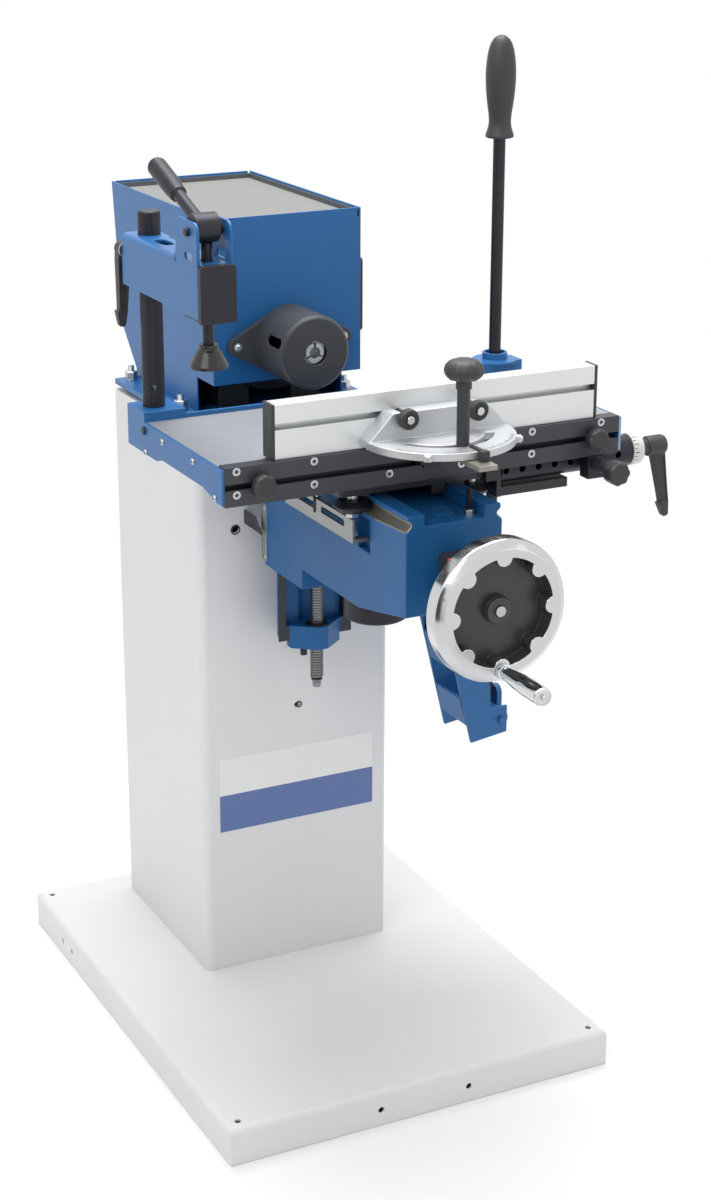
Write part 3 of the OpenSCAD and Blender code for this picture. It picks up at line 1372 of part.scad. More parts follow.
// Folded arm: open channel, sleeve round the post, two ears for the cam's pin
module clamp_arm() {
    y1 = post_y + 26;
    y0 = rod_y_pos - 26;
    window_l = 16;
    window_r = 4.5;
    slot_y = post_y - post_d / 2 - 28 - arm_slot_w / 2;
    color("#3d6da3") difference() {
        union() {
            along_y(y0, y1) translate([arm_x, arm_z0]) difference() {
                shouldered(arm_w, arm_h, 7);
                translate([0, -eps]) shouldered(arm_w - 2 * arm_sheet, arm_h - arm_sheet + eps, 3);
            }
            for (x = [arm_x0, arm_x1 - arm_sheet]) along_x(x, x + arm_sheet)
                translate([y0 + ear_l / 2, arm_z1 - 12]) {
                    shouldered(ear_l, 12 + ear_h + ear_over, ear_r);
                    difference() {
                        translate([0, 10]) square([ear_l / 2 + ear_r, ear_r + 2]);
                        translate([ear_l / 2 + ear_r, 12 + ear_r]) circle(ear_r);
                    }
                }
            translate([post_x, post_y, 0]) difference() {
                box([-arm_w / 2 + arm_sheet - 1, -24, arm_z0 + 4],
                    [arm_w / 2 - arm_sheet + 1, 24, arm_z1 - 1]);
                box([-2, 10, arm_z0], [2, 30, arm_z1 - arm_sheet]);
            }
        }
        translate([post_x, post_y, 0]) rod_z(post_d + 2 * run_gap, arm_z0 - eps, arm_z1 + eps);
        translate([arm_x, rod_y_pos, 0]) rod_z(spindle_rod_d + 2, arm_z1 - 20, arm_z1 + eps);
        translate([0, rod_y_pos, cam_z]) rod_x(10, arm_x0 - eps, arm_x1 + eps);
        translate([arm_x, slot_y, arm_z1 - 10]) linear_extrude(20) {
            for (y = [0, arm_slot_w - arm_slot_l]) translate([0, y]) circle(d = arm_slot_w);
            translate([-arm_slot_w / 2, arm_slot_w - arm_slot_l])
                square([arm_slot_w, arm_slot_l - arm_slot_w]);
        }
        for (x = [arm_x0, arm_x1 - arm_sheet]) along_x(x - eps, x + arm_sheet + eps)
            translate([rod_y_pos - 6, arm_z1 + 2 + window_r]) {
                translate([0, -window_r]) square([window_l, 2 * window_r]);
                circle(window_r);
                translate([window_l, 0]) circle(window_r);
            }
    }
}

module arm_end_block() {
    half = arm_w / 2 - arm_sheet;
    color("#1b1d1f") difference() {
        union() {
            along_y(rod_y_pos - 30, rod_y_pos + 26) translate([arm_x, arm_z0 - 4])
                shouldered(2 * half, arm_h - arm_sheet + 4, 3);
            along_y(rod_y_pos - 36, rod_y_pos - 26.2) translate([arm_x, arm_z0 - 4])
                shouldered(arm_w, arm_h + 4, 5);
        }
        translate([arm_x, rod_y_pos, 0]) rod_z(spindle_rod_d + 2 * run_gap, arm_z0 - 10, arm_z1);
    }
}

// Clamp lever at the back of the arm
module arm_lock_lever() {
    y = post_y + 26;
    color("#1d1f21") translate([arm_x - 17, y, arm_z0 + arm_h * 0.65]) {
        turned_back([[0, 0.1], [10, 0.1], [10, 3], [9, 5], [9, 22], [6, 24], [0, 24]]);
        translate([0, 14, 0]) rotate([0, 184, 0])
            turned_z([[0, 0], [8, 6], [7, 30], [9, 76], [9, 102], [7, 105], [0, 105]]);
    }
}

// Cam disc off its pin, with its rod and grip
module cam_lever() {
    half = arm_w / 2 - arm_sheet - small_gap;
    rod_r = 8;
    color("#26282b") translate([arm_x, rod_y_pos, cam_z]) {
        translate([0, 0, cam_throw]) rod_x(cam_d, -half, half - 7);
        rod_x(10 - 2 * run_gap, -arm_w / 2 - 5, arm_w / 2 + 5);
        rotate([-70, 0, 0]) turned_z([[0, 0], [rod_r, 8], [rod_r, cam_lever_l * 0.52],
            [cam_grip_d * 0.42, cam_lever_l * 0.53], [cam_grip_d * 0.46, cam_lever_l * 0.6],
            [cam_grip_d / 2, cam_lever_l * 0.68], [cam_grip_d / 2, cam_lever_l * 0.96],
            [cam_grip_d * 0.42, cam_lever_l * 0.99], [0, cam_lever_l]]);
    }
}

module clamp_spindle() {
    color("#c0c3c5") translate([arm_x, rod_y_pos, 0]) rod_z(spindle_rod_d, foot_z0 + foot_h, rod_top_z);
}

// Bell foot, hollow below
module clamp_foot() {
    r = foot_d / 2;
    color("#202224") translate([arm_x, rod_y_pos, foot_z0])
        turned_z([[0, foot_h - 8], [r * 0.4, foot_h - 8], [r - 7, 3], [r - 4, 0], [r, 0], [r, 4],
            [r * 0.62, foot_h - 9], [r * 0.5, foot_h - 6], [r * 0.5, foot_h], [0, foot_h]]);
}

// Sleeve on the bracket's pin with two cheeks for the lever's end
module lever_yoke() {
    cheek = lever_d / 2 + 1;
    color("#3a669a") translate([lever_x, lever_y, 0]) {
        difference() {
            union() {
                translate([0, 0, yoke_z]) rod_y(30, -bracket_half + 0.5, bracket_half - 0.5);
                for (x = [-cheek - 9, cheek]) along_x(x, x + 9) {
                    translate([-13, yoke_z]) square([26, cross_pin_h]);
                    translate([0, cross_pin_z]) circle(13);
                }
            }
            translate([0, 0, yoke_z]) rod_y(yoke_pin_d + 2 * run_gap, -bracket_half, bracket_half);
        }
        translate([0, 0, cross_pin_z]) rod_x(10, -cheek - 12, cheek + 12);
    }
}

module control_lever() {
    color("#2a2c2e") translate([lever_x, lever_y, 0]) difference() {
        union() {
            rod_z(lever_d, cross_pin_z, grip_z0 + lever_in_grip);
            translate([0, 0, cross_pin_z]) sphere(d = lever_d);
        }
        translate([0, 0, cross_pin_z]) rod_x(10 + 2 * run_gap, -lever_d, lever_d);
    }
}

// Turned grip: neck, swelling and flare at the foot
module lever_grip() {
    r = lever_grip_d / 2;
    h = lever_grip_l;
    color("#1a1b1d") translate([lever_x, lever_y, grip_z0]) difference() {
        turned_z([[0, 0], [r * 0.92, 0], [r * 0.95, 4], [r * 0.78, 12], [r * 0.72, 22], [r * 0.86, 42],
            [r * 0.98, 66], [r, 82], [r * 0.97, 100], [r * 0.85, 118], [r * 0.6, 131],
            [r * 0.25, h - 1], [0, h]]);
        rod_z(lever_d, -eps, lever_in_grip);
    }
}

base_plate();
column();
top_plate();
levelling_bolts();
motor_hood();
motor_body();
chuck_guard();
slide_base();
feed_nut();
switch_box();
start_button();
stop_button();
spindle_shaft();
chuck_body();
chuck_jaws();
knee_casting();
lever_bracket();
stop_rail();
bottom_drum();
height_counter();
lead_screw();
screw_gear();
handwheel();
handwheel_shaft();
shaft_gear();
crank_grip();
saddle_plate();
roller_front_left();
roller_front_right();
roller_rear_left();
roller_rear_right();
roller_bolts();
index_tube();
index_ring();
tube_clamp_lever();
table_top();
side_frame();
right_side_plate();
front_rail();
lever_guide();
plunger_bracket();
index_plunger();
left_stop_knob();
right_stop_knob();
mitre_base();
mitre_gauge();
gauge_lock_knob();
fence_profile();
thumb_knobs();
clamp_post();
clamp_arm();
arm_end_block();
arm_lock_lever();
cam_lever();
clamp_spindle();
clamp_foot();
lever_yoke();
control_lever();
lever_grip();
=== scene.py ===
"""Looks of a floor-standing slot mortiser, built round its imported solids, in metres."""

import json
import math

import bmesh
import bpy
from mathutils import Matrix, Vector


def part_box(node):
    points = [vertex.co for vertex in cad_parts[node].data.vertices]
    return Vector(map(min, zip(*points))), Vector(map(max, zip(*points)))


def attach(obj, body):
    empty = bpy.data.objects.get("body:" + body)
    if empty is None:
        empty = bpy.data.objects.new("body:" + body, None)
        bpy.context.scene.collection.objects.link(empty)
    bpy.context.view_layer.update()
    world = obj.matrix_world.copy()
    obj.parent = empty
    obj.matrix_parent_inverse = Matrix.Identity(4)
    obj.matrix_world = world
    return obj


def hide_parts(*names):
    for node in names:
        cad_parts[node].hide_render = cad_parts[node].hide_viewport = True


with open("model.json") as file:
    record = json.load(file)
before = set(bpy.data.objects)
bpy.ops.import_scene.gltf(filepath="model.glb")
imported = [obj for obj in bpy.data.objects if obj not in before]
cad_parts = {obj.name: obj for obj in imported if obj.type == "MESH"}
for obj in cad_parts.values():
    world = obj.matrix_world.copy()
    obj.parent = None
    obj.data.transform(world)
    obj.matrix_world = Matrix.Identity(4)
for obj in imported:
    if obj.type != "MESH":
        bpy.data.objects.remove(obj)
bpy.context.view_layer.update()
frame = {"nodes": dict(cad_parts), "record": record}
NODES = frame["nodes"]
BODY_OF = {n: b for b, ns in frame["record"]["behaviour"]["bodies"].items() for n in ns}
MM = 0.001
MERGE = 1e-6  # corners nearer than this (m) become one
FLAT = 0.4  # faces that meet at less than this (degrees) become one
# Turns (degrees) that point the Z axis of a piece to one side of the machine
TO_FRONT, TO_REAR, TO_RIGHT, TO_LEFT = (90, 0, 0), (-90, 0, 0), (0, 90, 0), (0, -90, 0)

bl_info = {
    "name": "Slot mortiser",
    "version": (1, 0, 0),
    "blender": (4, 5, 0),
    "location": "View3D > Sidebar > Mortiser",
    "description": "Dresses the solids of a slot mortiser with rounded edges, fittings and finishes",
    "category": "Object",
}


def linear(code, alpha=1.0):
    """Turns an sRGB hex code into a linear colour."""
    parts = [int(code[i:i + 2], 16) / 255 for i in (1, 3, 5)]
    turned_linear = [c / 12.92 if c <= 0.04045 else ((c + 0.055) / 1.055) ** 2.4 for c in parts]
    return (*turned_linear, alpha)


def colour_prop(name, code, about):
    """A colour that a user may change."""
    return bpy.props.FloatVectorProperty(
        name=name, description=about, subtype="COLOR", size=4, min=0, max=1, default=linear(code))


def length_prop(name, mm, about):
    """A length that a user may change, kept in metres."""
    return bpy.props.FloatProperty(
        name=name, description=about, subtype="DISTANCE", unit="LENGTH", min=0, default=mm * MM)


class MortiserColours(bpy.types.PropertyGroup):
    """Colours of the finishes."""
    blue: colour_prop("Blue", "#1E629D", "Gloss enamel on the hood, knee and side plates")
    grey: colour_prop("Grey", "#DDDDDE", "Enamel on the base tray and the column")
    black: colour_prop("Black", "#303134", "Moulded knobs, guard and grips")
    oxide: colour_prop("Black oxide", "#34343A", "Burnished posts, rails and rollers")
    metal: colour_prop("Bare metal", "#C9CBCC", "Aluminium and bright steel")
    floor: colour_prop("Floor", "#F4F4F4", "Studio floor")


class MortiserSizes(bpy.types.PropertyGroup):
    """Sizes of what is added to the solids."""
    sheet_edge: length_prop("Sheet edge", 0.8, "Rounding of folded and cut sheet edges")
    cast_edge: length_prop("Casting edge", 1.6, "Rounding of casting edges")
    screw_head: length_prop("Screw head", 10.5, "Diameter of the cross-slot screws")
    thread_pitch: length_prop("Thread pitch", 4.0, "Pitch of the lead screw")
    plate_thick: length_prop("Plate thickness", 0.7, "Thickness of the bare plate on the column")


def colours():
    """The colours as the user has set them."""
    return bpy.context.scene.mortiser_colours


def sizes():
    """The sizes as the user has set them, in metres."""
    return bpy.context.scene.mortiser_sizes


# Finishes

def add(tree, kind, links=None, values=None, **settings):
    """Adds a node with its settings, its fixed inputs and its links."""
    made = tree.nodes.new(kind)
    for key, value in settings.items():
        setattr(made, key, value)
    for key, value in (values or {}).items():
        made.inputs[key].default_value = value
    for key, source in (links or {}).items():
        tree.links.new(source, made.inputs[key])
    return made


def grains(mm):
    """Noise scale for features of this size."""
    return 1 / (mm * MM)


def shade(colour, k):
    """A colour made darker or lighter."""
    return (*[min(1.0, c * k) for c in colour[:3]], 1.0)


def finish(name, colour, metallic=0.0, rough=(0.4, 0.5), patch=60, vary=0.06, grain=2.0, depth=0.05,
           stretch=(1, 1, 1), **values):
    """A surface whose colour varies in patches, with a fine grain in its roughness and relief (mm)."""
    if isinstance(colour, str):
        colour = linear(colour)
    mat = bpy.data.materials.new(name)
    mat.use_nodes = True
    tree = mat.node_tree
    tree.nodes.clear()
    where = add(tree, "ShaderNodeTexCoord").outputs["Object"]
    along = add(tree, "ShaderNodeMapping", {"Vector": where}, {"Scale": stretch}).outputs[0]
    cloud = add(tree, "ShaderNodeTexNoise", {"Vector": where}, {"Scale": grains(patch), "Detail": 3})
    fine = add(tree, "ShaderNodeTexNoise", {"Vector": along}, {"Scale": grains(grain), "Detail": 2})
    tint = add(tree, "ShaderNodeMix", {"Factor": cloud.outputs[0]}, data_type="RGBA")
    tint.inputs["A"].default_value = shade(colour, 1 - vary)
    tint.inputs["B"].default_value = shade(colour, 1 + vary)
    dull = add(tree, "ShaderNodeMapRange", {"Value": fine.outputs[0]},
               {"From Min": 0.3, "From Max": 0.7, "To Min": rough[0], "To Max": rough[1]})
    relief = add(tree, "ShaderNodeBump", {"Height": fine.outputs[0]},
                 {"Strength": 1.0, "Distance": depth * MM})
    bsdf = add(tree, "ShaderNodeBsdfPrincipled",
               {"Base Color": tint.outputs["Result"], "Roughness": dull.outputs[0],
                "Normal": relief.outputs[0]}, {"Metallic": metallic, **values})
    add(tree, "ShaderNodeOutputMaterial", {"Surface": bsdf.outputs[0]})
    return mat


def make_finishes():
    """All finishes of the machine, by name.

    Each gives the material, its colour, metallic, lowest and highest roughness, then the size of its
    patches (mm), how far their colour varies, the size of its grain and the depth of its relief (mm).
    """
    c = colours()
    gloss = {"Coat Weight": 0.16, "Coat Roughness": 0.2, "Specular IOR Level": 0.36}
    cast_gloss = {"Coat Weight": 0.08, "Coat Roughness": 0.25, "Specular IOR Level": 0.25}
    lines_along_rail, lines_along_fence = (0.05, 1, 1), (0.02, 1, 1)
    return {
        # Stoved enamel: even colour, soft gloss, faint orange peel of about 2.5 mm, coarser on castings
        "blue": finish("blue_stoved_enamel", c.blue, 0, (0.34, 0.44), 70, 0.05, 2.5, 0.03, **gloss),
        "blue_cast": finish("blue_enamel_on_casting", shade(c.blue, 0.86), 0, (0.36, 0.5), 45, 0.07, 3.5,
                            0.07, **cast_gloss),
        "grey": finish("light_grey_powder_coat", c.grey, 0, (0.46, 0.56), 120, 0.025, 1.6, 0.03),
        # Painted highlight: pale blue for the front edge of the right side plate, where light falls on the
        # sheet's edge
        "painted_highlight_blue": finish("blue_enamel_with_painted_highlight", "#8FA6C0", 0, (0.34, 0.44), 40, 0.04, 2.5, 0.03),
        "wheel_black": finish("black_wheel_enamel", "#3A3A3A", 0, (0.26, 0.4), 25, 0.1, 3.0, 0.05),
        "motor": finish("black_motor_enamel", "#202224", 0, (0.4, 0.52), 20, 0.1, 2.0, 0.05),
        # Moulded plastic: dark, matt, grain of under a millimetre drawn a little coarser
        "plastic": finish("black_moulded_plastic", c.black, 0, (0.42, 0.56), 25, 0.10, 1.2, 0.03),
        "guard": finish("black_moulded_guard", shade(c.black, 1.5), 0, (0.42, 0.54), 25, 0.08, 1.2, 0.03),
        # Coloured plastic: even, brighter than the black, with a soft shine
        "white": finish("white_moulded_plastic", "#D6D6D3", 0, (0.35, 0.45), 15, 0.02, 1.0, 0.01),
        "green": finish("green_moulded_plastic", "#1F8A43", 0, (0.3, 0.4), 12, 0.05, 1.0, 0.01),
        "red": finish("red_moulded_plastic", "#C4211C", 0, (0.3, 0.4), 12, 0.05, 1.0, 0.01),
        "orange": finish("orange_moulded_plastic", "#E0561F", 0, (0.3, 0.4), 12, 0.05, 1.0, 0.01),
        # Rubber: dull and dark, shiny only on the clamp's foot; the mat is pale with a cloth-like grain
        "rubber": finish("black_rubber", shade(c.black, 0.8), 0, (0.55, 0.7), 20, 0.1, 1.5, 0.04),
        "rubber_gloss": finish("black_gloss_rubber", shade(c.black, 0.6), 0, (0.2, 0.3), 20, 0.1, 1.5, 0.02),
        "mat": finish("pale_cork_rubber_mat", "#7A7A78", 0, (0.7, 0.85), 3, 0.16, 1.4, 0.12),
        # Dark grey for a band along the lower part of the tray's inner walls
        "dark_wall_band": finish("dark_tray_wall_band", "#55585B", 0, (0.6, 0.75), 8, 0.1, 1.4, 0.06),
        # Burnished and anodised black: dark metal with a soft sheen and faint streaks
        "oxide": finish("black_oxide_steel", c.oxide, 0.75, (0.34, 0.5), 30, 0.14, 1.6, 0.02),
        "black_rail": finish("black_anodised_rail", shade(c.oxide, 1.5), 0.3, (0.36, 0.48), 40, 0.1, 2.0,
                             0.015, lines_along_rail),
        # Plated, ground and rolled steel: bright to grey, with a broad highlight
        "zinc": finish("zinc_plated_steel", c.metal, 1, (0.22, 0.36), 10, 0.08, 1.2, 0.02),
        "steel": finish("ground_steel", shade(c.metal, 0.85), 1, (0.25, 0.38), 20, 0.08, 1.4, 0.02),
        "pale_steel": finish("bright_rolled_steel", "#A0A2A1", 0.9, (0.38, 0.52), 25, 0.06, 1.5,
                             0.02),
        "screw_steel": finish("oiled_screw_steel", "#8B8C8C", 0.9, (0.3, 0.42), 12, 0.12, 1.2, 0.02),
        # Darker colour for the roots of the lead screw's thread
        "groove": finish("darker_thread_roots", "#222222", 0.3, (0.45, 0.6), 10, 0.1, 1.2, 0.02),
        # Machined iron and bronze: grey or brown with fine tool marks
        "iron": finish("machined_grey_iron", "#98948C", 0.8, (0.38, 0.55), 18, 0.12, 1.8, 0.03),
        "iron_dark": finish("dark_machined_iron", "#3C3E41", 0.7, (0.38, 0.55), 18, 0.12, 1.8, 0.03),
        "bronze": finish("turned_bronze", "#5E4A2C", 1, (0.3, 0.42), 12, 0.08, 1.2, 0.02),
        # Anodised extrusion: fine lines along its length
        "fence": finish("anodised_aluminium_extrusion", "#E0E2E3", 0.6, (0.34, 0.44), 60, 0.03, 0.9,
                        0.012, lines_along_fence),
        "table": finish("fine_milled_aluminium", "#9C9EA1", 0.7, (0.44, 0.6), 25, 0.06, 1.4, 0.05),
        # Sand-cast aluminium, blasted: pale, matt, grains of about a millimetre
        "cast_alu": finish("blasted_cast_aluminium", "#C4C6C8", 0.85, (0.4, 0.56), 14, 0.06, 1.1,
                           0.05),
        # Polished rim and chromed grip: sharp reflections
        "polished": finish("polished_aluminium", "#CDCFD1", 1, (0.12, 0.2), 40, 0.03, 1.2, 0.006),
        "chrome": finish("chromed_steel", "#D4D6D8", 1, (0.05, 0.09), 30, 0.02, 1.0, 0.003),
        # Ink and printed film: flat and even
        "ink": finish("black_engraving_ink", "#1C1C1E", 0, (0.5, 0.6), 8, 0.05, 1.0, 0.005),
        "plate_pale": finish("pale_plate_film", "#E6E7E6", 0, (0.4, 0.48), 30, 0.01, 2.0, 0.005),
        "plate_blue": finish("blue_plate_film", "#5B71A6", 0, (0.4, 0.48), 30, 0.02, 2.0, 0.005),
    }


FINISH = {}


def span(node):
    """Lowest and highest corner of a solid, in mm."""
    low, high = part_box(node)
    return low / MM, high / MM


def middle(node):
    """Centre of a solid's box, in mm."""
    low, high = span(node)
    return (low + high) / 2


# Modelling steps

def fresh():
    """Object mode with nothing selected."""
    if bpy.context.mode != "OBJECT":
        bpy.ops.object.mode_set(mode="OBJECT")
    bpy.ops.object.select_all(action="DESELECT")


def hold(obj):
    """Selects one object and makes it the active one."""
    fresh()
    obj.select_set(True)
    bpy.context.view_layer.objects.active = obj
    return obj


def named(name):
    """Names the active piece and its mesh."""
    obj = bpy.context.object
    obj.name = name
    obj.data.name = name
    return obj


def put(obj, at=(0, 0, 0), turn=(0, 0, 0)):
    """Turns a piece (degrees) and moves it (mm), then settles that in its mesh."""
    hold(obj)
    obj.rotation_euler = [math.radians(a) for a in turn]
    obj.location = [v * MM for v in at]
    settle()
    return obj


def settle():
    """Takes the place, turn and scale of the active piece into its mesh."""
    bpy.ops.object.transform_apply(location=True, rotation=True, scale=True)


def edit(obj):
    """Edit mode with all of one piece selected."""
    hold(obj)
    bpy.ops.object.mode_set(mode="EDIT")
    bpy.ops.mesh.select_all(action="SELECT")


def done(seal=False):
    """Back to object mode; sealing first merges corners and turns all faces outwards."""
    if seal:
        bpy.ops.mesh.select_all(action="SELECT")
        bpy.ops.mesh.remove_doubles(threshold=MERGE)
        bpy.ops.mesh.normals_make_consistent(inside=False)
    bpy.ops.object.mode_set(mode="OBJECT")


def pull(x, y, z):
    """Extrudes what is selected (mm)."""
    bpy.ops.mesh.extrude_region_move(TRANSFORM_OT_translate={"value": (x * MM, y * MM, z * MM)})


def grow(factors, at):
    """Scales what is selected about a point (mm)."""
    bpy.ops.transform.resize(value=factors, center_override=[v * MM for v in at])


def smooth(angle):
    """Smooth shading on the active piece below an angle (degrees)."""
    bpy.ops.object.shade_smooth_by_angle(angle=math.radians(angle))


def soften(obj, width, segments=2, angle=28):
    """Rounds the edges with a bevel modifier (mm) and smooths the rest."""
    hold(obj)
    bpy.ops.object.shade_smooth()
    if width > 0:
        bevel = obj.modifiers.new("edges", "BEVEL")
        bevel.width = width * MM
        bevel.segments = segments
        bevel.limit_method = "ANGLE"
        bevel.angle_limit = math.radians(angle)
        bevel.use_clamp_overlap = False
        bevel.miter_outer = "MITER_ARC"
        bpy.ops.object.modifier_apply(modifier=bevel.name)
    smooth_below = 50 if width > 0 else angle
    smooth(smooth_below)
    level = obj.modifiers.new("level", "WEIGHTED_NORMAL")
    level.keep_sharp = True
    level.weight = 80
    bpy.ops.object.modifier_apply(modifier=level.name)
    return obj


def carry(obj, node, look, stands_for=False):
    """Gives a piece its finish and the body of a node, and hides that node when the piece stands for it."""
    obj.data.materials.clear()
    obj.data.materials.append(FINISH[look])
    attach(obj, BODY_OF[node])
    if stands_for:
        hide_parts(node)
    return obj


def copy_of(node):
    """A merged copy of a solid, with its flat faces made whole."""
    obj = bpy.data.objects.new(node + "_finished", NODES[node].data.copy())
    bpy.context.scene.collection.objects.link(obj)
    edit(obj)
    bpy.ops.mesh.remove_doubles(threshold=MERGE)
    bpy.ops.mesh.dissolve_limited(angle_limit=math.radians(FLAT))
    done()
    return obj


def dress(node, look, width=0.8, segments=2):
    """A copy of a solid with rounded edges and its finish."""
    obj = soften(copy_of(node), width, segments)
    return carry(obj, node, look, stands_for=True)


def turned(name, profile, at, turn=(0, 0, 0), steps=48, edge=0.0, ring=False):
    """A lathe shape: a circle extruded and scaled along a profile of (radius, height) in mm."""
    fresh()
    radius, height = profile[0]
    bpy.ops.mesh.primitive_circle_add(vertices=steps, radius=radius * MM, location=(0, 0, height * MM),
                                      fill_type="NOTHING" if ring else "NGON")
    obj = named(name)
    settle()
    edit(obj)
    for next_radius, next_height in profile[1:] + (profile[:1] if ring else []):
        pull(0, 0, next_height - height)
        if next_radius != radius:
            k = next_radius / radius
            grow((k, k, 1), (0, 0, next_height))
        radius, height = next_radius, next_height
    done(seal=True)
    put(obj, at, turn)
    return soften(obj, edge)


def block(name, low, high, edge=0.6, segments=2):
    """A box between two corners (mm) with rounded edges."""
    fresh()
    low, high = Vector(low), Vector(high)
    bpy.ops.mesh.primitive_cube_add(size=1, location=(low + high) * 0.5 * MM)
    obj = named(name)
    obj.scale = (high - low) * MM
    settle()
    return soften(obj, edge, segments)


def joined(name, pieces):
    """One piece out of several."""
    fresh()
    for obj in pieces:
        obj.select_set(True)
    bpy.context.view_layer.objects.active = pieces[0]
    if len(pieces) > 1:
        bpy.ops.object.join()
    return named(name)


def copies(obj, name, places, turn=(0, 0, 0)):
    """Copies of a piece at several places (mm), joined into one; the first one is used up."""
    made = []
    for place in places:
        hold(obj)
        bpy.ops.object.duplicate()
        made.append(put(bpy.context.object, place, turn))
    bpy.data.objects.remove(obj)
    return joined(name, made)


def pick_faces(obj, test):
    """Edit mode with the faces selected whose centre and normal pass the test (mm)."""
    edit(obj)
    bpy.ops.mesh.select_mode(type="FACE")
    bpy.ops.mesh.select_all(action="DESELECT")
    grid = bmesh.from_edit_mesh(obj.data)
    for face in grid.faces:
        face.select_set(test(face.calc_center_median() / MM, face.normal))
    grid.select_flush(True)
    bmesh.update_edit_mesh(obj.data)


def paint_faces(obj, look, test):
    """Gives some faces a second finish."""
    obj.data.materials.append(FINISH[look])
    pick_faces(obj, test)
    obj.active_material_index = len(obj.data.materials) - 1
    bpy.ops.object.material_slot_assign()
    done()
    return obj


def cross_screw(name, diameter, flush=False):
    """A pan-head or flush screw with a cross slot, head up along Z, standing on the origin."""
    r = diameter / 2
    pan = [(r, 0), (r, r * 0.22), (r * 0.86, r * 0.42), (r * 0.55, r * 0.52)]
    flat = [(r, -1.5), (r, 0.04), (r * 0.97, 0.08)]
    obj = turned(name, flat if flush else pan, (0, 0, 0), steps=24)
    half_long, half_wide = r * 0.55, r * 0.24
    floor = -1.2 if flush else r * 0.2
    for angle in (0, 90):
        cutter = block("cutter", (-half_long, -half_wide, floor), (half_long, half_wide, r), 0)
        put(cutter, (0, 0, 0), (0, 0, angle))
        cut = obj.modifiers.new("slot", "BOOLEAN")
        cut.operation = "DIFFERENCE"
        cut.object = cutter
        hold(obj)
        bpy.ops.object.modifier_apply(modifier=cut.name)
        bpy.data.objects.remove(cutter)
    hold(obj)
    smooth(30)
    return obj


def thread(name, r, pitch, low, high, axis=(0, 0), steps=32, depth=0.9):
    """A threaded rod between two heights (mm): one turn of the profile, repeated by a screw modifier."""
    fresh()
    turns = int((high - low) // pitch)
    bpy.ops.mesh.primitive_circle_add(vertices=4, radius=0.01)
    obj = named(name)
    inner = r - depth
    root, rise, crest = pitch * 0.35, pitch * 0.5, pitch * 0.85
    places = [(inner, 0), (inner, root), (r, rise), (r, crest)]
    edit(obj)
    grid = bmesh.from_edit_mesh(obj.data)
    grid.verts.ensure_lookup_table()
    for vert, (x, z) in zip(grid.verts, places):
        vert.co = (x * MM, 0, (low + z) * MM)
    grid.edges.remove(grid.edges.get((grid.verts[0], grid.verts[3])))
    bmesh.update_edit_mesh(obj.data)
    # Extrudes the last flank; in face mode, once pick_faces has set it, the crest's corner moves instead
    bpy.ops.mesh.select_all(action="DESELECT")
    grid = bmesh.from_edit_mesh(obj.data)
    grid.verts.ensure_lookup_table()
    grid.verts[3].select_set(True)
    grid.select_flush(True)
    pull(inner - r, 0, pitch * 0.15)
    done()
    screw = obj.modifiers.new("thread", "SCREW")
    screw.screw_offset = pitch * MM
    screw.iterations = turns
    screw.steps = steps
    screw.render_steps = steps
    screw.use_merge_vertices = True
    screw.merge_threshold = MERGE
    hold(obj)
    bpy.ops.object.modifier_apply(modifier=screw.name)
    core_r, core_top = inner + 0.02, low + turns * pitch + pitch * 0.3
    core = turned("core", [(core_r, low), (core_r, core_top)], (0, 0, 0), steps=steps)
    obj = joined(name, [obj, core])
    edit(obj)
    done(seal=True)
    smooth(30)
    return put(obj, (*axis, 0))


def fluted(name, r, height, count, at, turn, deep=1.0, shape=None):
    """A knob along Z with flutes round its rim; its shape gives shares of the radius at heights (mm)."""
    rounded_cap = [(0.9, 0), (1.0, 1.4), (1.0, height - 2.4), (0.9, height - 0.4), (0.8, height),
                   (0.55, height), (0.5, height - 1.1), (0.1, height - 1.1)]
    shape = shape or rounded_cap
    obj = turned(name, [(k * r, z) for k, z in shape], (0, 0, 0), steps=count * 6)
    edit(obj)
    grid = bmesh.from_edit_mesh(obj.data)
    rim = 0.7 * r * MM
    for vert in grid.verts:
        out = math.hypot(vert.co.x, vert.co.y)
        if out > rim:
            angle = math.atan2(vert.co.y, vert.co.x) * count
            k = 1 - deep * MM * (0.5 - 0.5 * math.cos(angle)) ** 2 / out
            vert.co.x *= k
            vert.co.y *= k
    bmesh.update_edit_mesh(obj.data)
    done()
    smooth(50)
    return put(obj, at, turn)


def drawn(name, sections, edge=0.8):
    """A bar drawn down through rectangles of (height, x0, x1, y0, y1) in mm."""
    fresh()
    z, x0, x1, y0, y1 = sections[0]
    start = ((x0 + x1) / 2 * MM, (y0 + y1) / 2 * MM, z * MM)
    bpy.ops.mesh.primitive_plane_add(size=1, location=start)
    obj = named(name)
    obj.scale = ((x1 - x0) * MM, (y1 - y0) * MM, 1)
    settle()
    edit(obj)
    for nz, nx0, nx1, ny0, ny1 in sections[1:]:
        pull((nx0 + nx1 - x0 - x1) / 2, (ny0 + ny1 - y0 - y1) / 2, nz - z)
        growth = ((nx1 - nx0) / (x1 - x0), (ny1 - ny0) / (y1 - y0), 1)
        grow(growth, ((nx0 + nx1) / 2, (ny0 + ny1) / 2, nz))
        z, x0, x1, y0, y1 = nz, nx0, nx1, ny0, ny1
    done(seal=True)
    return soften(obj, edge, 3)


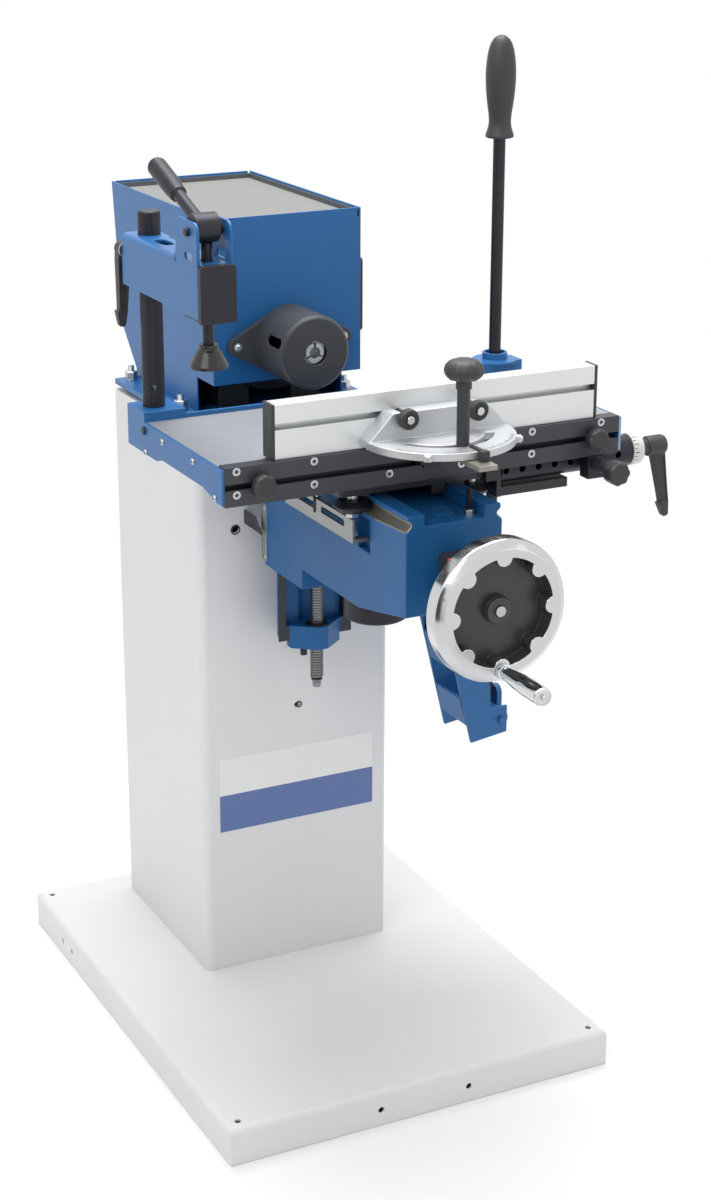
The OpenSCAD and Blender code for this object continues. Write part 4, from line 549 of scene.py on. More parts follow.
def clamp_handle(length):
    """Arm of a moulded clamp lever: it hangs from the origin, its front is sunk and its end is stepped."""
    rim, sunk = 2.2, 2.0
    bar = drawn("arm", [(-2, -9, 9, -8, 8), (-15, -9, 9, -7.5, 7.5), (-length * 0.58, -5.5, 8, -6.5, 6.5),
                        (-length * 0.79, -4, 8, -6, 6), (-length * 0.8, -7.5, 8, -6, 6),
                        (-length * 0.97, -3, 6.5, -5, 5), (-length, -1, 5, -4, 4)], 0)
    pick_faces(bar, lambda c, n: n.y < -0.8 and -length * 0.75 < c.z < -12)
    bpy.ops.mesh.inset(thickness=rim * MM)
    pull(0, sunk, 0)
    done()
    return soften(bar, 0.8, 3)


def hex_nut(name, across, height):
    """A hexagon nut along Z with its upper corners turned off, standing on the origin."""
    r = across / math.sqrt(3)
    profile = [(r * 0.95, 0), (r, r * 0.06), (r, height - r * 0.12), (r * 0.87, height)]
    return turned(name, profile, (0, 0, 0), steps=6, edge=0.25)


# Stage

class MORTISER_OT_stage(bpy.types.Operator):
    """Floor, lamps, sky and camera"""
    bl_idname = "mortiser.stage"
    bl_label = "Stage"

    AIM = Vector((0, 0, 0.7))
    CARD_AIM = Vector((0, -0.4, 0.8))
    EYE_AT = (-1.33649, -2.81608, 1.74687)
    EYE_TURN = (71.219, 0.12, -26.069)
    LENS = 67.55
    SHIFT = (0.0244, -0.0238)
    FLOOR_R, FLOOR_DROP = 30, 0.0005
    FADE = (0.5, 1.4)
    SKY_LIGHT = 0.55

    def execute(self, context):
        fresh()
        bpy.ops.mesh.primitive_circle_add(vertices=96, radius=self.FLOOR_R, fill_type="NGON",
                                          location=(0, 0, -self.FLOOR_DROP))
        floor = named("studio_floor")
        settle()
        floor.data.materials.append(self.floor_paint())
        self.sky(context)
        self.lamp("key_lamp", (-2.7, -2.0, 3.5), 50, 2.4)
        self.lamp("fill_lamp", (2.6, -2.8, 2.2), 8, 2.6)
        self.lamp("top_lamp", (0.2, 0.3, 3.6), 118, 2.4)
        self.card("left_card", (-1.9, -1.5, 0.9), 0.9, 1.6)
        self.camera(context)
        return {"FINISHED"}

    def looking(self, tree):
        """Socket that is 1 for the camera, for reflections and through clear pieces, and 0 for light."""
        ray = add(tree, "ShaderNodeLightPath").outputs
        through = add(tree, "ShaderNodeMath", {0: ray["Is Transmission Ray"], 1: ray["Is Glossy Ray"]},
                      operation="MAXIMUM").outputs[0]
        either = add(tree, "ShaderNodeMath", {0: ray["Is Camera Ray"], 1: through}, operation="MAXIMUM")
        return either.outputs[0]

    def floor_paint(self):
        """Matt paint that goes over to plain white away from the machine."""
        mat = bpy.data.materials.new("pale_studio_paint")
        mat.use_nodes = True
        tree = mat.node_tree
        tree.nodes.clear()
        where = add(tree, "ShaderNodeTexCoord").outputs["Object"]
        away = add(tree, "ShaderNodeVectorMath", {0: where}, operation="LENGTH").outputs["Value"]
        far = add(tree, "ShaderNodeMapRange", {"Value": away},
                  {"From Min": self.FADE[0], "From Max": self.FADE[1]})
        paint = add(tree, "ShaderNodeBsdfPrincipled",
                    values={"Base Color": colours().floor, "Roughness": 0.9})
        white = add(tree, "ShaderNodeEmission", values={"Color": (1, 1, 1, 1), "Strength": 1.0})
        seen = add(tree, "ShaderNodeMath", {0: self.looking(tree), 1: far.outputs[0]}, operation="MULTIPLY")
        both = add(tree, "ShaderNodeMixShader",
                   {0: seen.outputs[0], 1: paint.outputs[0], 2: white.outputs[0]})
        add(tree, "ShaderNodeOutputMaterial", {"Surface": both.outputs[0]})
        return mat

    def sky(self, context):
        """White to the eye and in reflections, softer as light."""
        world = bpy.data.worlds.new("studio_sky")
        context.scene.world = world
        world.use_nodes = True
        tree = world.node_tree
        tree.nodes.clear()
        soft = add(tree, "ShaderNodeBackground", values={"Color": (1, 1, 1, 1), "Strength": self.SKY_LIGHT})
        white = add(tree, "ShaderNodeBackground", values={"Color": (1, 1, 1, 1), "Strength": 1.0})
        both = add(tree, "ShaderNodeMixShader",
                   {0: self.looking(tree), 1: soft.outputs[0], 2: white.outputs[0]})
        add(tree, "ShaderNodeOutputWorld", {"Surface": both.outputs[0]})

    def card(self, name, at, width, height):
        """A dark card that shows only in bright metal, facing the machine."""
        fresh()
        bpy.ops.mesh.primitive_plane_add(size=1, location=at)
        card = named(name)
        card.scale = (width, height, 1)
        card.rotation_euler = (self.CARD_AIM - Vector(at)).to_track_quat("Z", "Y").to_euler()
        settle()
        card.data.materials.append(FINISH["rubber"])
        for kind in ("camera", "diffuse", "transmission", "shadow", "volume_scatter"):
            setattr(card, "visible_" + kind, False)

    def lamp(self, name, at, power, size):
        """A square soft box that looks at the middle of the machine."""
        fresh()
        bpy.ops.object.light_add(type="AREA", location=at)
        lamp = bpy.context.object
        lamp.name = name
        lamp.data.energy = power
        lamp.data.size = size
        lamp.rotation_euler = (self.AIM - Vector(at)).to_track_quat("-Z", "Y").to_euler()

    def camera(self, context):
        """Camera at the viewing angle, its lens and shift set for a 711 by 1200 picture."""
        fresh()
        bpy.ops.object.camera_add(location=self.EYE_AT)
        eye = bpy.context.object
        eye.name = "photo_camera"
        eye.rotation_euler = [math.radians(a) for a in self.EYE_TURN]
        eye.data.sensor_width = 36
        eye.data.lens = self.LENS
        eye.data.shift_x, eye.data.shift_y = self.SHIFT
        eye.data.dof.use_dof = False
        context.scene.camera = eye
        context.scene.view_settings.view_transform = "Standard"


class MORTISER_OT_stand(bpy.types.Operator):
    """Base tray, column with its bare plate, top plate and levelling bolts"""
    bl_idname = "mortiser.stand"
    bl_label = "Stand"

    def execute(self, context):
        edge = sizes().sheet_edge / MM
        dress("base_plate", "grey", edge)
        dress("column", "grey", edge)
        dress("top_plate", "blue", edge)
        self.column_plate()
        self.dark_hole_rings()
        self.bolts()
        return {"FINISHED"}

    def column_plate(self):
        """Film in two tones on the column's front, left bare."""
        front = span("column")[0].y
        thick = sizes().plate_thick / MM
        half_w, foot, seam, top = 128, 284, 343, 402
        tones = (("plate_upper", "plate_pale", seam, top), ("plate_lower", "plate_blue", foot, seam))
        for name, look, low, high in tones:
            film = block(name, (-half_w, front - thick, low), (half_w, front, high), 0.3)
            carry(film, "column", look)

    def dark_hole_rings(self):
        """Black rings round the two holes of the column's front, which widen the dark of the holes."""
        front = span("column")[0].y
        sight_hole, small_hole = (-96, 758, 7.5), (3.5, 469, 5.2)
        rings = []
        for x, z, r in (sight_hole, small_hole):
            profile = [(r - 2, 1), (r, 0), (r, 0.8), (r - 2, 1.6)]
            rings.append(turned("ring", profile, (x, front, z), TO_FRONT, 40, ring=True))
        carry(joined("hole_dark_rings", rings), "column", "plastic")

    def bolts(self):
        """Studs with a nut under the plate, and a washer and a nut on it."""
        low, high = span("levelling_bolts")
        plate = span("top_plate")
        stud_r, pitch, inset = 5, 1.5, 10
        across, nut_h, washer_r, washer_t = 17, 12, 10, 2
        places = [(x, y, 0) for x in (low.x + inset, high.x - inset) for y in (low.y + inset, high.y - inset)]
        washer = [(washer_r, 0), (washer_r, washer_t - 0.2), (washer_r - 0.4, washer_t)]
        pieces = [
            thread("stud", stud_r, pitch, low.z, high.z),
            put(hex_nut("lower_nut", across, plate[0].z - low.z), (0, 0, low.z)),
            turned("washer", washer, (0, 0, plate[1].z), steps=32),
            put(hex_nut("upper_nut", across, nut_h), (0, 0, plate[1].z + washer_t)),
        ]
        bolt = joined("levelling_bolt", pieces)
        carry(copies(bolt, "levelling_studs", places), "levelling_bolts", "zinc", stands_for=True)


class MORTISER_OT_head(bpy.types.Operator):
    """Motor hood with its mat, motor, guard, chuck and switch"""
    bl_idname = "mortiser.head"
    bl_label = "Motor head"

    def execute(self, context):
        dress("motor_hood", "blue", sizes().sheet_edge / MM)
        dress("motor_body", "motor", 1.2)
        dress("spindle_shaft", "steel", 0.5)
        dress("chuck_body", "steel", 0.8)
        dress("chuck_jaws", "zinc", 0.4)
        dress("switch_box", "plastic", 1.5, 3)
        dress("start_button", "green", 1.0, 3)
        dress("stop_button", "red", 1.0, 3)
        dress("chuck_guard", "guard", 1.2, 3)
        self.mat()
        self.guard_screws()
        self.switch_trim()
        return {"FINISHED"}

    def mat(self):
        """Rubber mat laid in the tray on top of the hood, with a dark band along the lower part of the tray's
        walls.
        """
        low, high = span("motor_hood")
        wall, gap, tray, thick = 2.5, 2.0, 13.0, 2.5
        mat = block("tray_mat", (low.x + wall + gap, low.y + wall + gap, high.z - tray),
                    (high.x - wall - gap, high.y - wall - gap, high.z - tray + thick), 0.8)
        carry(mat, "motor_hood", "mat")
        x0, x1 = low.x + wall, high.x - wall
        y0, y1 = low.y + wall, high.y - wall
        # Dark band along the lower part of the tray's inner walls
        dark_band_h, t = 9.5, 2.2
        z0, z1 = high.z - tray, high.z - tray + dark_band_h
        sides = [block("side", a, b, 0.4) for a, b in (
            ((x0, y0, z0), (x1, y0 + t, z1)), ((x0, y1 - t, z0), (x1, y1, z1)),
            ((x0, y0, z0), (x0 + t, y1, z1)), ((x1 - t, y0, z0), (x1, y1, z1)))]
        carry(joined("tray_wall_dark_band", sides), "motor_hood", "dark_wall_band")

    def guard_screws(self):
        """A washer and a cross-slot screw in each ear of the guard."""
        ear_x, ear_t, washer_t = 83, 12, 1.1
        face = span("chuck_guard")[1].y - ear_t
        washer = turned("washer", [(6.5, 0), (6.5, 0.9), (6, washer_t)], (0, 0, 0), steps=32)
        head = put(cross_screw("screw", 9.5), (0, 0, washer_t))
        screw = joined("guard_screw", [washer, head])
        places = [(x, face, middle("chuck_body").z) for x in (-ear_x, ear_x)]
        carry(copies(screw, "guard_screws", places, TO_FRONT), "chuck_guard", "zinc")

    def switch_trim(self):
        """Collars round the two buttons and screws in the corners of the switch box."""
        low, high = span("switch_box")
        gap, inset = 0.7, 8
        collars = []
        for node in ("start_button", "stop_button"):
            a, b = span(node)
            r = (b.z - a.z) / 2 + gap
            mid = middle(node)
            ring = turned("collar", [(r, 0), (r + 3, 0), (r + 3, 1.4), (r + 2.2, 2), (r, 2)],
                          (high.x, mid.y, mid.z), TO_RIGHT, ring=True)
            collars.append(ring)
        carry(joined("button_collars", collars), "switch_box", "oxide")
        screw = cross_screw("screw", 6)
        places = [(high.x, y, z) for y in (low.y + inset, high.y - inset)
                  for z in (low.z + inset, high.z - inset)]
        carry(copies(screw, "switch_screws", places, TO_RIGHT), "switch_box", "zinc")


class MORTISER_OT_knee(bpy.types.Operator):
    """Upright slide, knee, lead screw, counter and bracket"""
    bl_idname = "mortiser.knee"
    bl_label = "Knee and slide"

    def execute(self, context):
        edge = sizes().cast_edge / MM
        slide_way_x, slide_way_y = 45.5, -25
        v_way_in, v_way_out, v_way_low, v_way_top = 60, 73, 881, 899
        slide = dress("slide_base", "blue_cast", edge * 0.6)
        paint_faces(slide, "iron_dark", lambda c, n: abs(c.x) > slide_way_x and c.y < slide_way_y)
        knee = dress("knee_casting", "blue_cast", edge)
        paint_faces(knee, "iron", lambda c, n: v_way_in < abs(c.x) < v_way_out and v_way_low < c.z < v_way_top
                    and abs(n.z) > 0.2)
        dress("lever_bracket", "blue", sizes().sheet_edge / MM)
        dress("stop_rail", "pale_steel", 0.5)
        dress("bottom_drum", "oxide", 1.5, 3)
        dress("height_counter", "plastic", 1.5, 3)
        dress("feed_nut", "bronze", 0.6)
        dress("screw_gear", "steel", 0)
        dress("shaft_gear", "steel", 0)
        self.lead_screw()
        self.knee_fittings()
        self.height_scale()
        return {"FINISHED"}

    def lead_screw(self):
        """Thread with pointed crests on the screw, with a plain end and a clip groove below."""
        low, high = span("lead_screw")
        axis = middle("lead_screw")[:2]
        r, pitch = (high.x - low.x) / 2, sizes().thread_pitch / MM
        tail_h, depth, lap, dark_below = 12, 2.2, 1, 1.6
        thread_low, thread_top, neck = low.z + tail_h, span("knee_casting")[0].z, high.z - 22
        tail = turned("tail", [(r * 0.55, 0), (r * 0.62, 1), (r * 0.62, 7), (r * 0.5, 7.1), (r * 0.5, 9),
                               (r * 0.75, 9.1), (r * 0.85, tail_h)], (*axis, low.z), steps=40)
        core = thread("core", r, pitch, thread_low, thread_top, axis, steps=40, depth=depth)
        top = turned("shank", [(r, thread_top - lap), (r, neck - 1), (r * 0.8, neck), (r * 0.8, high.z)],
                     (*axis, 0))
        rod = joined("lead_screw_threaded", [tail, core, top])
        carry(rod, "lead_screw", "screw_steel", stands_for=True)

        # Faces this deep in the thread's roots are coloured darker than the crests
        def in_groove(c, n):
            out = math.hypot(c.x - axis[0], c.y - axis[1])
            return thread_low < c.z < thread_top and out < r - dark_below
        paint_faces(rod, "groove", in_groove)

    def knee_fittings(self):
        """Plug in the channel, stop stud with its nut, clip on the counter, set screw under the boss."""
        deck, washer_t = 890, 1.2
        plug_at, stud_at, boss_at = (6.6, -403.5), (32, -430), (-22, -49)
        plug = turned("channel_plug", [(17, 0), (17, 1.2), (16.2, 2), (13, 2), (12.6, 1.4), (0.5, 1.4)],
                      (*plug_at, deck))
        carry(plug, "knee_casting", "blue_cast")
        stud = thread("stop_stud", 4.2, 1.4, deck + 7, deck + 34, stud_at, steps=24)
        carry(stud, "knee_casting", "oxide")
        nut = put(hex_nut("nut", 13, 6.5), (*stud_at, deck + washer_t))
        washer = turned("washer", [(8, 0), (8, washer_t)], (*stud_at, deck), steps=32)
        carry(joined("stop_stud_nut", [nut, washer]), "stop_rail", "zinc")
        low, high = span("height_counter")
        clip = block("counter_clip", (low.x - 1, low.y + 14, high.z - 13),
                     (low.x + 14, low.y + 21, high.z + 1), 1.2, 3)
        carry(clip, "height_counter", "orange")
        boss_low = span("slide_base")[0].z
        head = turned("head", [(5, 0), (5, 8.5), (4.4, 9)], (*boss_at, boss_low - 10), steps=32, edge=0.3)
        shank = turned("shank", [(3, 0), (3, 8)], (*boss_at, boss_low - 2), steps=24)
        carry(joined("boss_screw", [head, shank]), "slide_base", "oxide")

    def height_scale(self):
        """Ruled strip with its two screws on the knee's rear corner, and a pointer from the column."""
        low, high = span("knee_casting")
        thick, y0, y1, step, inset = 1.2, -37, -19, 5, 6
        face, z0, z1 = low.x - thick, low.z + 7, high.z - 97
        strip = block("height_strip", (face, y0, z0), (low.x, y1, z1), 0.2)
        carry(strip, "stop_rail", "pale_steel")
        lines, line_end, relief = [], y1 - 0.4, 0.1
        for i in range(17):
            length = 7 if i % 5 == 0 else 4.5
            z = z0 + step + i * step
            lines.append(block("line", (face - relief, line_end - length, z),
                               (face + relief, line_end, z + 1), 0))
        carry(joined("height_lines", lines), "height_counter", "ink")
        screw = cross_screw("screw", 6)
        places = [(face, y0 + inset, z) for z in (z0 + inset, z1 - inset)]
        carry(copies(screw, "height_strip_screws", places, TO_LEFT), "stop_rail", "zinc")
        self.height_pointer(span("column")[0].y)
        self.depth_mark()

    def depth_mark(self):
        """Black clip with a bright screw on the depth stop rail."""
        low, high = span("stop_rail")
        y0, y1, out, over, reach, drop = -228, -224, 1.6, 1.4, 8, 20
        top_z = high.z + over
        leg = block("leg", (low.x - out, y0, high.z - drop), (low.x, y1, top_z), 0.4)
        top = block("top", (low.x - out, y0, high.z), (low.x + reach, y1, top_z), 0.4)
        carry(joined("depth_clip", [leg, top]), "stop_rail", "oxide")
        screw = turned("depth_clip_screw", [(3, 0), (3, 3), (2.4, 3.6), (0.5, 3.6)],
                       (low.x + reach / 2, (y0 + y1) / 2, top_z), steps=24)
        carry(screw, "stop_rail", "zinc")

    def height_pointer(self, column_face):
        """Flat finger from the column whose tip is drawn in towards the strip."""
        x0, x1, y0, z0, z1 = -82, -79, -12, 766, 786
        reach, dip, tip = 22, 10, 0.12
        finger = block("height_pointer", (x0, y0, z0), (x1, column_face, z1), 0)
        pick_faces(finger, lambda c, n: n.y < -0.9)
        pull(0, -reach, -dip)
        grow((1, 1, tip), ((x0 + x1) / 2, y0 - reach, z0))
        done()
        carry(soften(finger, 0.3), "column", "plastic")


class MORTISER_OT_handwheel(bpy.types.Operator):
    """Handwheel with its black dish, hub nut and crank"""
    bl_idname = "mortiser.handwheel"
    bl_label = "Handwheel"

    def execute(self, context):
        axis_z = middle("handwheel_shaft").z
        dish_r, lip, dish_back, dish_floor = 71.8, 0.8, 32, 22
        front = span("crank_grip")[1].y + 0.5
        wheel = dress("handwheel", "polished", 1.0, 3)

        def in_dish(c, n):
            r = math.hypot(c.x, c.z - axis_z)
            return r < dish_r and front + lip < c.y < front + dish_back
        paint_faces(wheel, "wheel_black", in_dish)
        dress("handwheel_shaft", "steel", 0.6)
        self.hub(axis_z, front + dish_floor)
        self.crank(middle("crank_grip").z)
        return {"FINISHED"}

    def hub(self, axis_z, floor):
        """Black collar with a sunk nut, and the bright end of the shaft."""
        seat = (0, floor - 2, axis_z)
        collar = turned("hub_collar", [(19, 0), (18, 6), (17, 7.5), (12.5, 7.5), (11.5, 6.5), (11.5, 2)],
                        (0, floor, axis_z), TO_FRONT, edge=0.4)
        carry(collar, "handwheel", "wheel_black")
        carry(put(hex_nut("hub_nut", 19, 7), seat, TO_FRONT), "handwheel", "oxide")
        end = turned("shaft_end", [(7, 0), (7, 9.5), (6.2, 11), (4.5, 11.3)], seat, TO_FRONT)
        carry(end, "handwheel_shaft", "zinc")

    def crank(self, z):
        """Chromed grip with a collar at its root and a ring in its end."""
        low, high = span("crank_grip")
        length = high.y - low.y
        r = (high.x - low.x) / 2
        collar = [(r * 0.70, 0), (r * 0.84, 1.0), (r * 0.84, 7), (r * 0.70, 8)]
        body = [(r * 0.66, 10), (r * 0.72, 18), (r * 0.84, length * 0.31), (r * 0.94, length * 0.46),
                (r, length * 0.62), (r, length * 0.86), (r * 0.96, length - 4)]
        ring = [(r * 0.92, length - 3.4), (r * 0.94, length - 2.6), (r * 0.88, length - 0.5),
                (r * 0.8, length), (r * 0.72, length), (r * 0.68, length - 0.8), (r * 0.40, length - 0.8)]
        grip = turned("crank_grip_turned", collar + body + ring, (0, high.y, z), TO_FRONT, steps=56)
        carry(grip, "crank_grip", "chrome", stands_for=True)
        root_gap = 4.6
        root = put(hex_nut("crank_root_nut", 19, 4.2), (0, high.y + root_gap, z), TO_FRONT)
        carry(root, "handwheel", "zinc")


class MORTISER_OT_saddle(bpy.types.Operator):
    """Saddle, V rollers, index tube with its ring and lever"""
    bl_idname = "mortiser.saddle"
    bl_label = "Saddle and index"

    HUB_LENGTH = 44

    def execute(self, context):
        dress("saddle_plate", "iron_dark", 0.8)
        for side in ("front_left", "front_right", "rear_left", "rear_right"):
            dress("roller_" + side, "oxide", 0.5)
        dress("roller_bolts", "zinc", 0.4)
        dress("index_tube", "oxide", 0.5)
        dress("index_ring", "white", 0.6)
        self.clamp_lever()
        self.ring_marks()
        self.lever_screw()
        return {"FINISHED"}

    def ring_marks(self):
        """Short lines round the white ring."""
        low, high = span("index_ring")
        mid = middle("index_ring")
        r = (high.z - low.z) / 2
        count, start, half_w, sunk, proud = 24, low.x + 1.0, 0.45, 0.2, 0.12
        marks = []
        for i in range(count):
            length = 7 if i % 2 == 0 else 4
            line = block("mark", (start, -half_w, r - sunk), (start + length, half_w, r + proud), 0)
            marks.append(put(line, (0, mid.y, mid.z), (i * 360 / count, 0, 0)))
        carry(joined("index_ring_lines", marks), "index_ring", "ink")

    def clamp_lever(self):
        """Moulded clamp lever: flange, neck, hub and arm."""
        at = (span("tube_clamp_lever")[0].x - 0.1, middle("tube_clamp_lever").y, middle("index_ring").z)
        arm_l, arm_x, arm_lean = 105, 31, -9
        hub = turned("hub", [(15, 0.1), (15.8, 0.7), (15.8, 2.4), (15, 3), (11, 3.2), (11, 13), (13, 14),
                             (14, 16), (14, 38), (12.5, 42), (8, 43.6), (2, self.HUB_LENGTH)],
                     at, TO_RIGHT, edge=0.3)
        arm = put(clamp_handle(arm_l), (at[0] + arm_x, at[1], at[2]), (0, arm_lean, 0))
        carry(joined("tube_clamp_moulded", [hub, arm]), "tube_clamp_lever", "plastic", stands_for=True)

    def lever_screw(self):
        """Bright socket screw in the end of the lever's hub."""
        hub_end = (span("index_ring")[1].x + self.HUB_LENGTH, middle("tube_clamp_lever").y,
                   middle("index_ring").z)
        screw = turned("hub_screw", [(5.2, 0), (5.2, 1.6), (4.6, 2.2), (2.7, 2.2), (2.6, 0.9), (0.4, 0.9)],
                       hub_end, TO_RIGHT, steps=32)
        carry(screw, "tube_clamp_lever", "zinc")


class MORTISER_OT_table(bpy.types.Operator):
    """Table, side plates, front rail with its screws, stop knobs and plunger"""
    bl_idname = "mortiser.table"
    bl_label = "Table"

    def execute(self, context):
        edge = sizes().sheet_edge / MM
        dress("table_top", "table", 0.5)
        dress("side_frame", "blue", edge)
        plate = dress("right_side_plate", "blue", edge)
        # Front edge painted pale blue: a painted highlight for the light on the sheet's edge
        paint_faces(plate, "painted_highlight_blue", lambda c, n: n.y < -0.6)
        dress("lever_guide", "blue", edge)
        dress("front_rail", "black_rail", 0.5)
        dress("plunger_bracket", "oxide", 0.6)
        self.rail_screws()
        self.side_screws()
        for node in ("left_stop_knob", "right_stop_knob"):
            dress(node, "plastic", 0.5)
            self.cap(node, node + "_cap", 11, 11.5, 8, 1.4)
        dress("index_plunger", "plastic", 0.8)
        self.cap("index_plunger", "plunger_cap", 18, 18.4, 7, 1.8)
        return {"FINISHED"}

    def rail_screws(self):
        """Two rows of cross-slot screws along the front rail."""
        face = span("front_rail")[0].y
        columns, rows = (-270, -164, -58, 47, 152, 258), (973, 943)
        places = [(x, face, z) for x in columns for z in rows]
        screw = cross_screw("screw", sizes().screw_head / MM, flush=True)
        carry(copies(screw, "rail_screws", places, TO_FRONT), "front_rail", "zinc")

    def side_screws(self):
        """Screws and a plug in the left side plate."""
        face = span("side_frame")[0].x
        upper_row = 966
        plug_at = (face, -127, upper_row)
        screw = cross_screw("screw", 9)
        places = [(face, -190, upper_row), (face, -292, upper_row), (face, -360, 936), (face, -130, 937)]
        carry(copies(screw, "side_screws", places, TO_LEFT), "side_frame", "zinc")
        plug = turned("side_plug", [(5.5, 0), (5.5, 2.5), (4.6, 3.4), (1, 3.6)], plug_at, TO_LEFT, 32)
        carry(plug, "side_frame", "plastic")

    def cap(self, node, name, back, height, flutes, deep):
        """Fluted cap with a sunk ring over a knob's front, seated this far back from the knob's face (mm)."""
        low, high = span(node)
        skin = 0.6
        r = (high.z - low.z) / 2 + skin
        mid = middle(node)
        at = (mid.x, low.y + back, mid.z)
        carry(fluted(name, r, height, flutes, at, TO_FRONT, deep), node, "plastic")


class MORTISER_OT_gauge(bpy.types.Operator):
    """Mitre gauge with its scale, fence, knobs and pointer"""
    bl_idname = "mortiser.gauge"
    bl_label = "Mitre gauge"

    def execute(self, context):
        dress("mitre_base", "iron_dark", 0.6)
        dress("mitre_gauge", "cast_alu", 1.2, 3)
        dress("fence_profile", "fence", 0.35)
        self.fence_caps()
        self.thumb_knobs()
        self.lock_knob()
        self.scale()
        self.lugs()
        self.pointer()
        return {"FINISHED"}

    def fence_caps(self):
        """Black moulded caps on the fence's ends."""
        low, high = span("fence_profile")
        thick, over, under = 4.5, 0.6, 0.2
        caps = []
        for x0, x1 in ((low.x - thick, low.x), (high.x, high.x + thick)):
            caps.append(block("cap", (x0, low.y - over, low.z - under), (x1, high.y + over, high.z + over),
                              1.0, 3))
        carry(joined("fence_caps", caps), "fence_profile", "plastic")

    def thumb_knobs(self):
        """Knurled knobs with a bright screw in the middle, on black studs."""
        low, high = span("thumb_knobs")
        z = middle("thumb_knobs").z
        r, wide, knurls = 13.5, 11, 30
        stud = [(3, 0), (3, high.y - low.y - 18)]
        core = [(5.2, 0), (5.2, 1.4), (4.6, 2), (1.5, 2)]
        pieces, bright = [], []
        for x in (low.x + r, high.x - r):
            pieces.append(fluted("knob", r, wide, knurls, (x, low.y + 13, z), TO_FRONT, 0.6))
            pieces.append(turned("neck", [(5, 0), (5, 5)], (x, low.y + 17.2, z), TO_FRONT, 32))
            pieces.append(turned("stud", stud, (x, high.y - 4, z), TO_FRONT, 24))
            pieces.append(put(hex_nut("nut", 13, 6), (x, high.y, z), TO_FRONT))
            bright.append(turned("core", core, (x, low.y + 1.8, z), TO_FRONT, 32))
        carry(joined("thumb_knobs_knurled", pieces), "thumb_knobs", "plastic", stands_for=True)
        carry(joined("thumb_knob_cores", bright), "thumb_knobs", "zinc")

    def lock_knob(self):
        """Post and ribbed mushroom knob."""
        low, high = span("gauge_lock_knob")
        at = middle("gauge_lock_knob")[:2]
        r = (high.x - low.x) / 2
        knob_h, ribs, top = 28, 10, high.z
        stud = turned("stud", [(4, low.z), (4, low.z + 12)], (*at, 0), steps=24)
        post = turned("post", [(8.2, low.z + 10.6), (8.2, top - 40), (8, top - 39), (9.8, top - 38.4),
                               (10.2, top - 36.4), (9.8, top - 29), (10.2, top - knob_h)], (*at, 0), edge=0.4)
        mushroom = [(0.42, 0), (0.76, 2.5), (0.94, 7), (1.0, 12), (1.0, 15), (0.93, 20), (0.76, 24.5),
                    (0.48, 27), (0.2, knob_h)]
        knob = fluted("knob", r, knob_h, ribs, (*at, top - knob_h), (0, 0, 0), 1.4, mushroom)
        carry(joined("lock_knob_ribbed", [post, stud, knob]), "gauge_lock_knob", "plastic", stands_for=True)

    def pivot(self):
        """Axis of the swivel: the middle of the half disc's straight side."""
        fence_seat = 21
        return middle("mitre_gauge").x, span("mitre_gauge")[1].y - fence_seat

    def scale(self):
        """Degree lines near the rim of the half disc."""
        low = span("mitre_gauge")[0]
        disc_t, margin, half_w, relief = 10, 3, 0.3, 0.12
        rim = self.pivot()[1] - low.y - margin
        lines = []
        for deg in range(-60, 61, 2):
            length = 8 if deg % 10 == 0 else 5
            line = block("line", (-half_w, -rim, 0.0), (half_w, length - rim, relief), 0)
            lines.append(put(line, (*self.pivot(), low.z + disc_t), (0, 0, deg)))
        carry(joined("gauge_lines", lines), "mitre_gauge", "ink")

    def lugs(self):
        """Stop lugs with screws on the disc's rim."""
        low = span("mitre_gauge")[0]
        rim = self.pivot()[1] - low.y
        half_w, out, lap = 5, 6, 1.4
        foot_low, foot_top, screw_z = low.z + 0.4, low.z + 9.2, low.z + 4.7
        for name, angle in (("stop_lug_left", -35), ("stop_lug_right", 58)):
            foot = block("lug", (-half_w, -rim - out, foot_low), (half_w, -rim + lap, foot_top), 1.4, 3)
            screw = put(cross_screw("screw", 7), (0, -rim - out, screw_z), TO_FRONT)
            lug = joined(name, [foot, screw])
            carry(put(lug, (*self.pivot(), 0), (0, 0, angle)), "mitre_gauge", "cast_alu")

    def pointer(self):
        """Steel bar out of the gauge's base with a black flip pointer that lies on the disc."""
        x = self.pivot()[0]
        low = span("mitre_gauge")[0]
        rim, disc = low.y, low.z
        bar_low, bar_top, clip_low = disc - 7.2, disc - 0.6, disc - 1
        finger_low, finger_top = disc + 10.4, disc + 12.8
        bar = block("pointer_bar", (x - 13, rim - 30, bar_low), (x + 13, rim + 38, bar_top), 0.6)
        carry(bar, "mitre_base", "iron")
        clip = block("clip", (x, rim - 13, clip_low), (x + 12, rim - 3.5, finger_top), 1.0)
        finger = block("finger", (x + 2.5, rim - 8, finger_low), (x + 8.5, rim + 24, finger_top), 0.6)
        carry(joined("gauge_pointer", [clip, finger]), "mitre_base", "plastic")


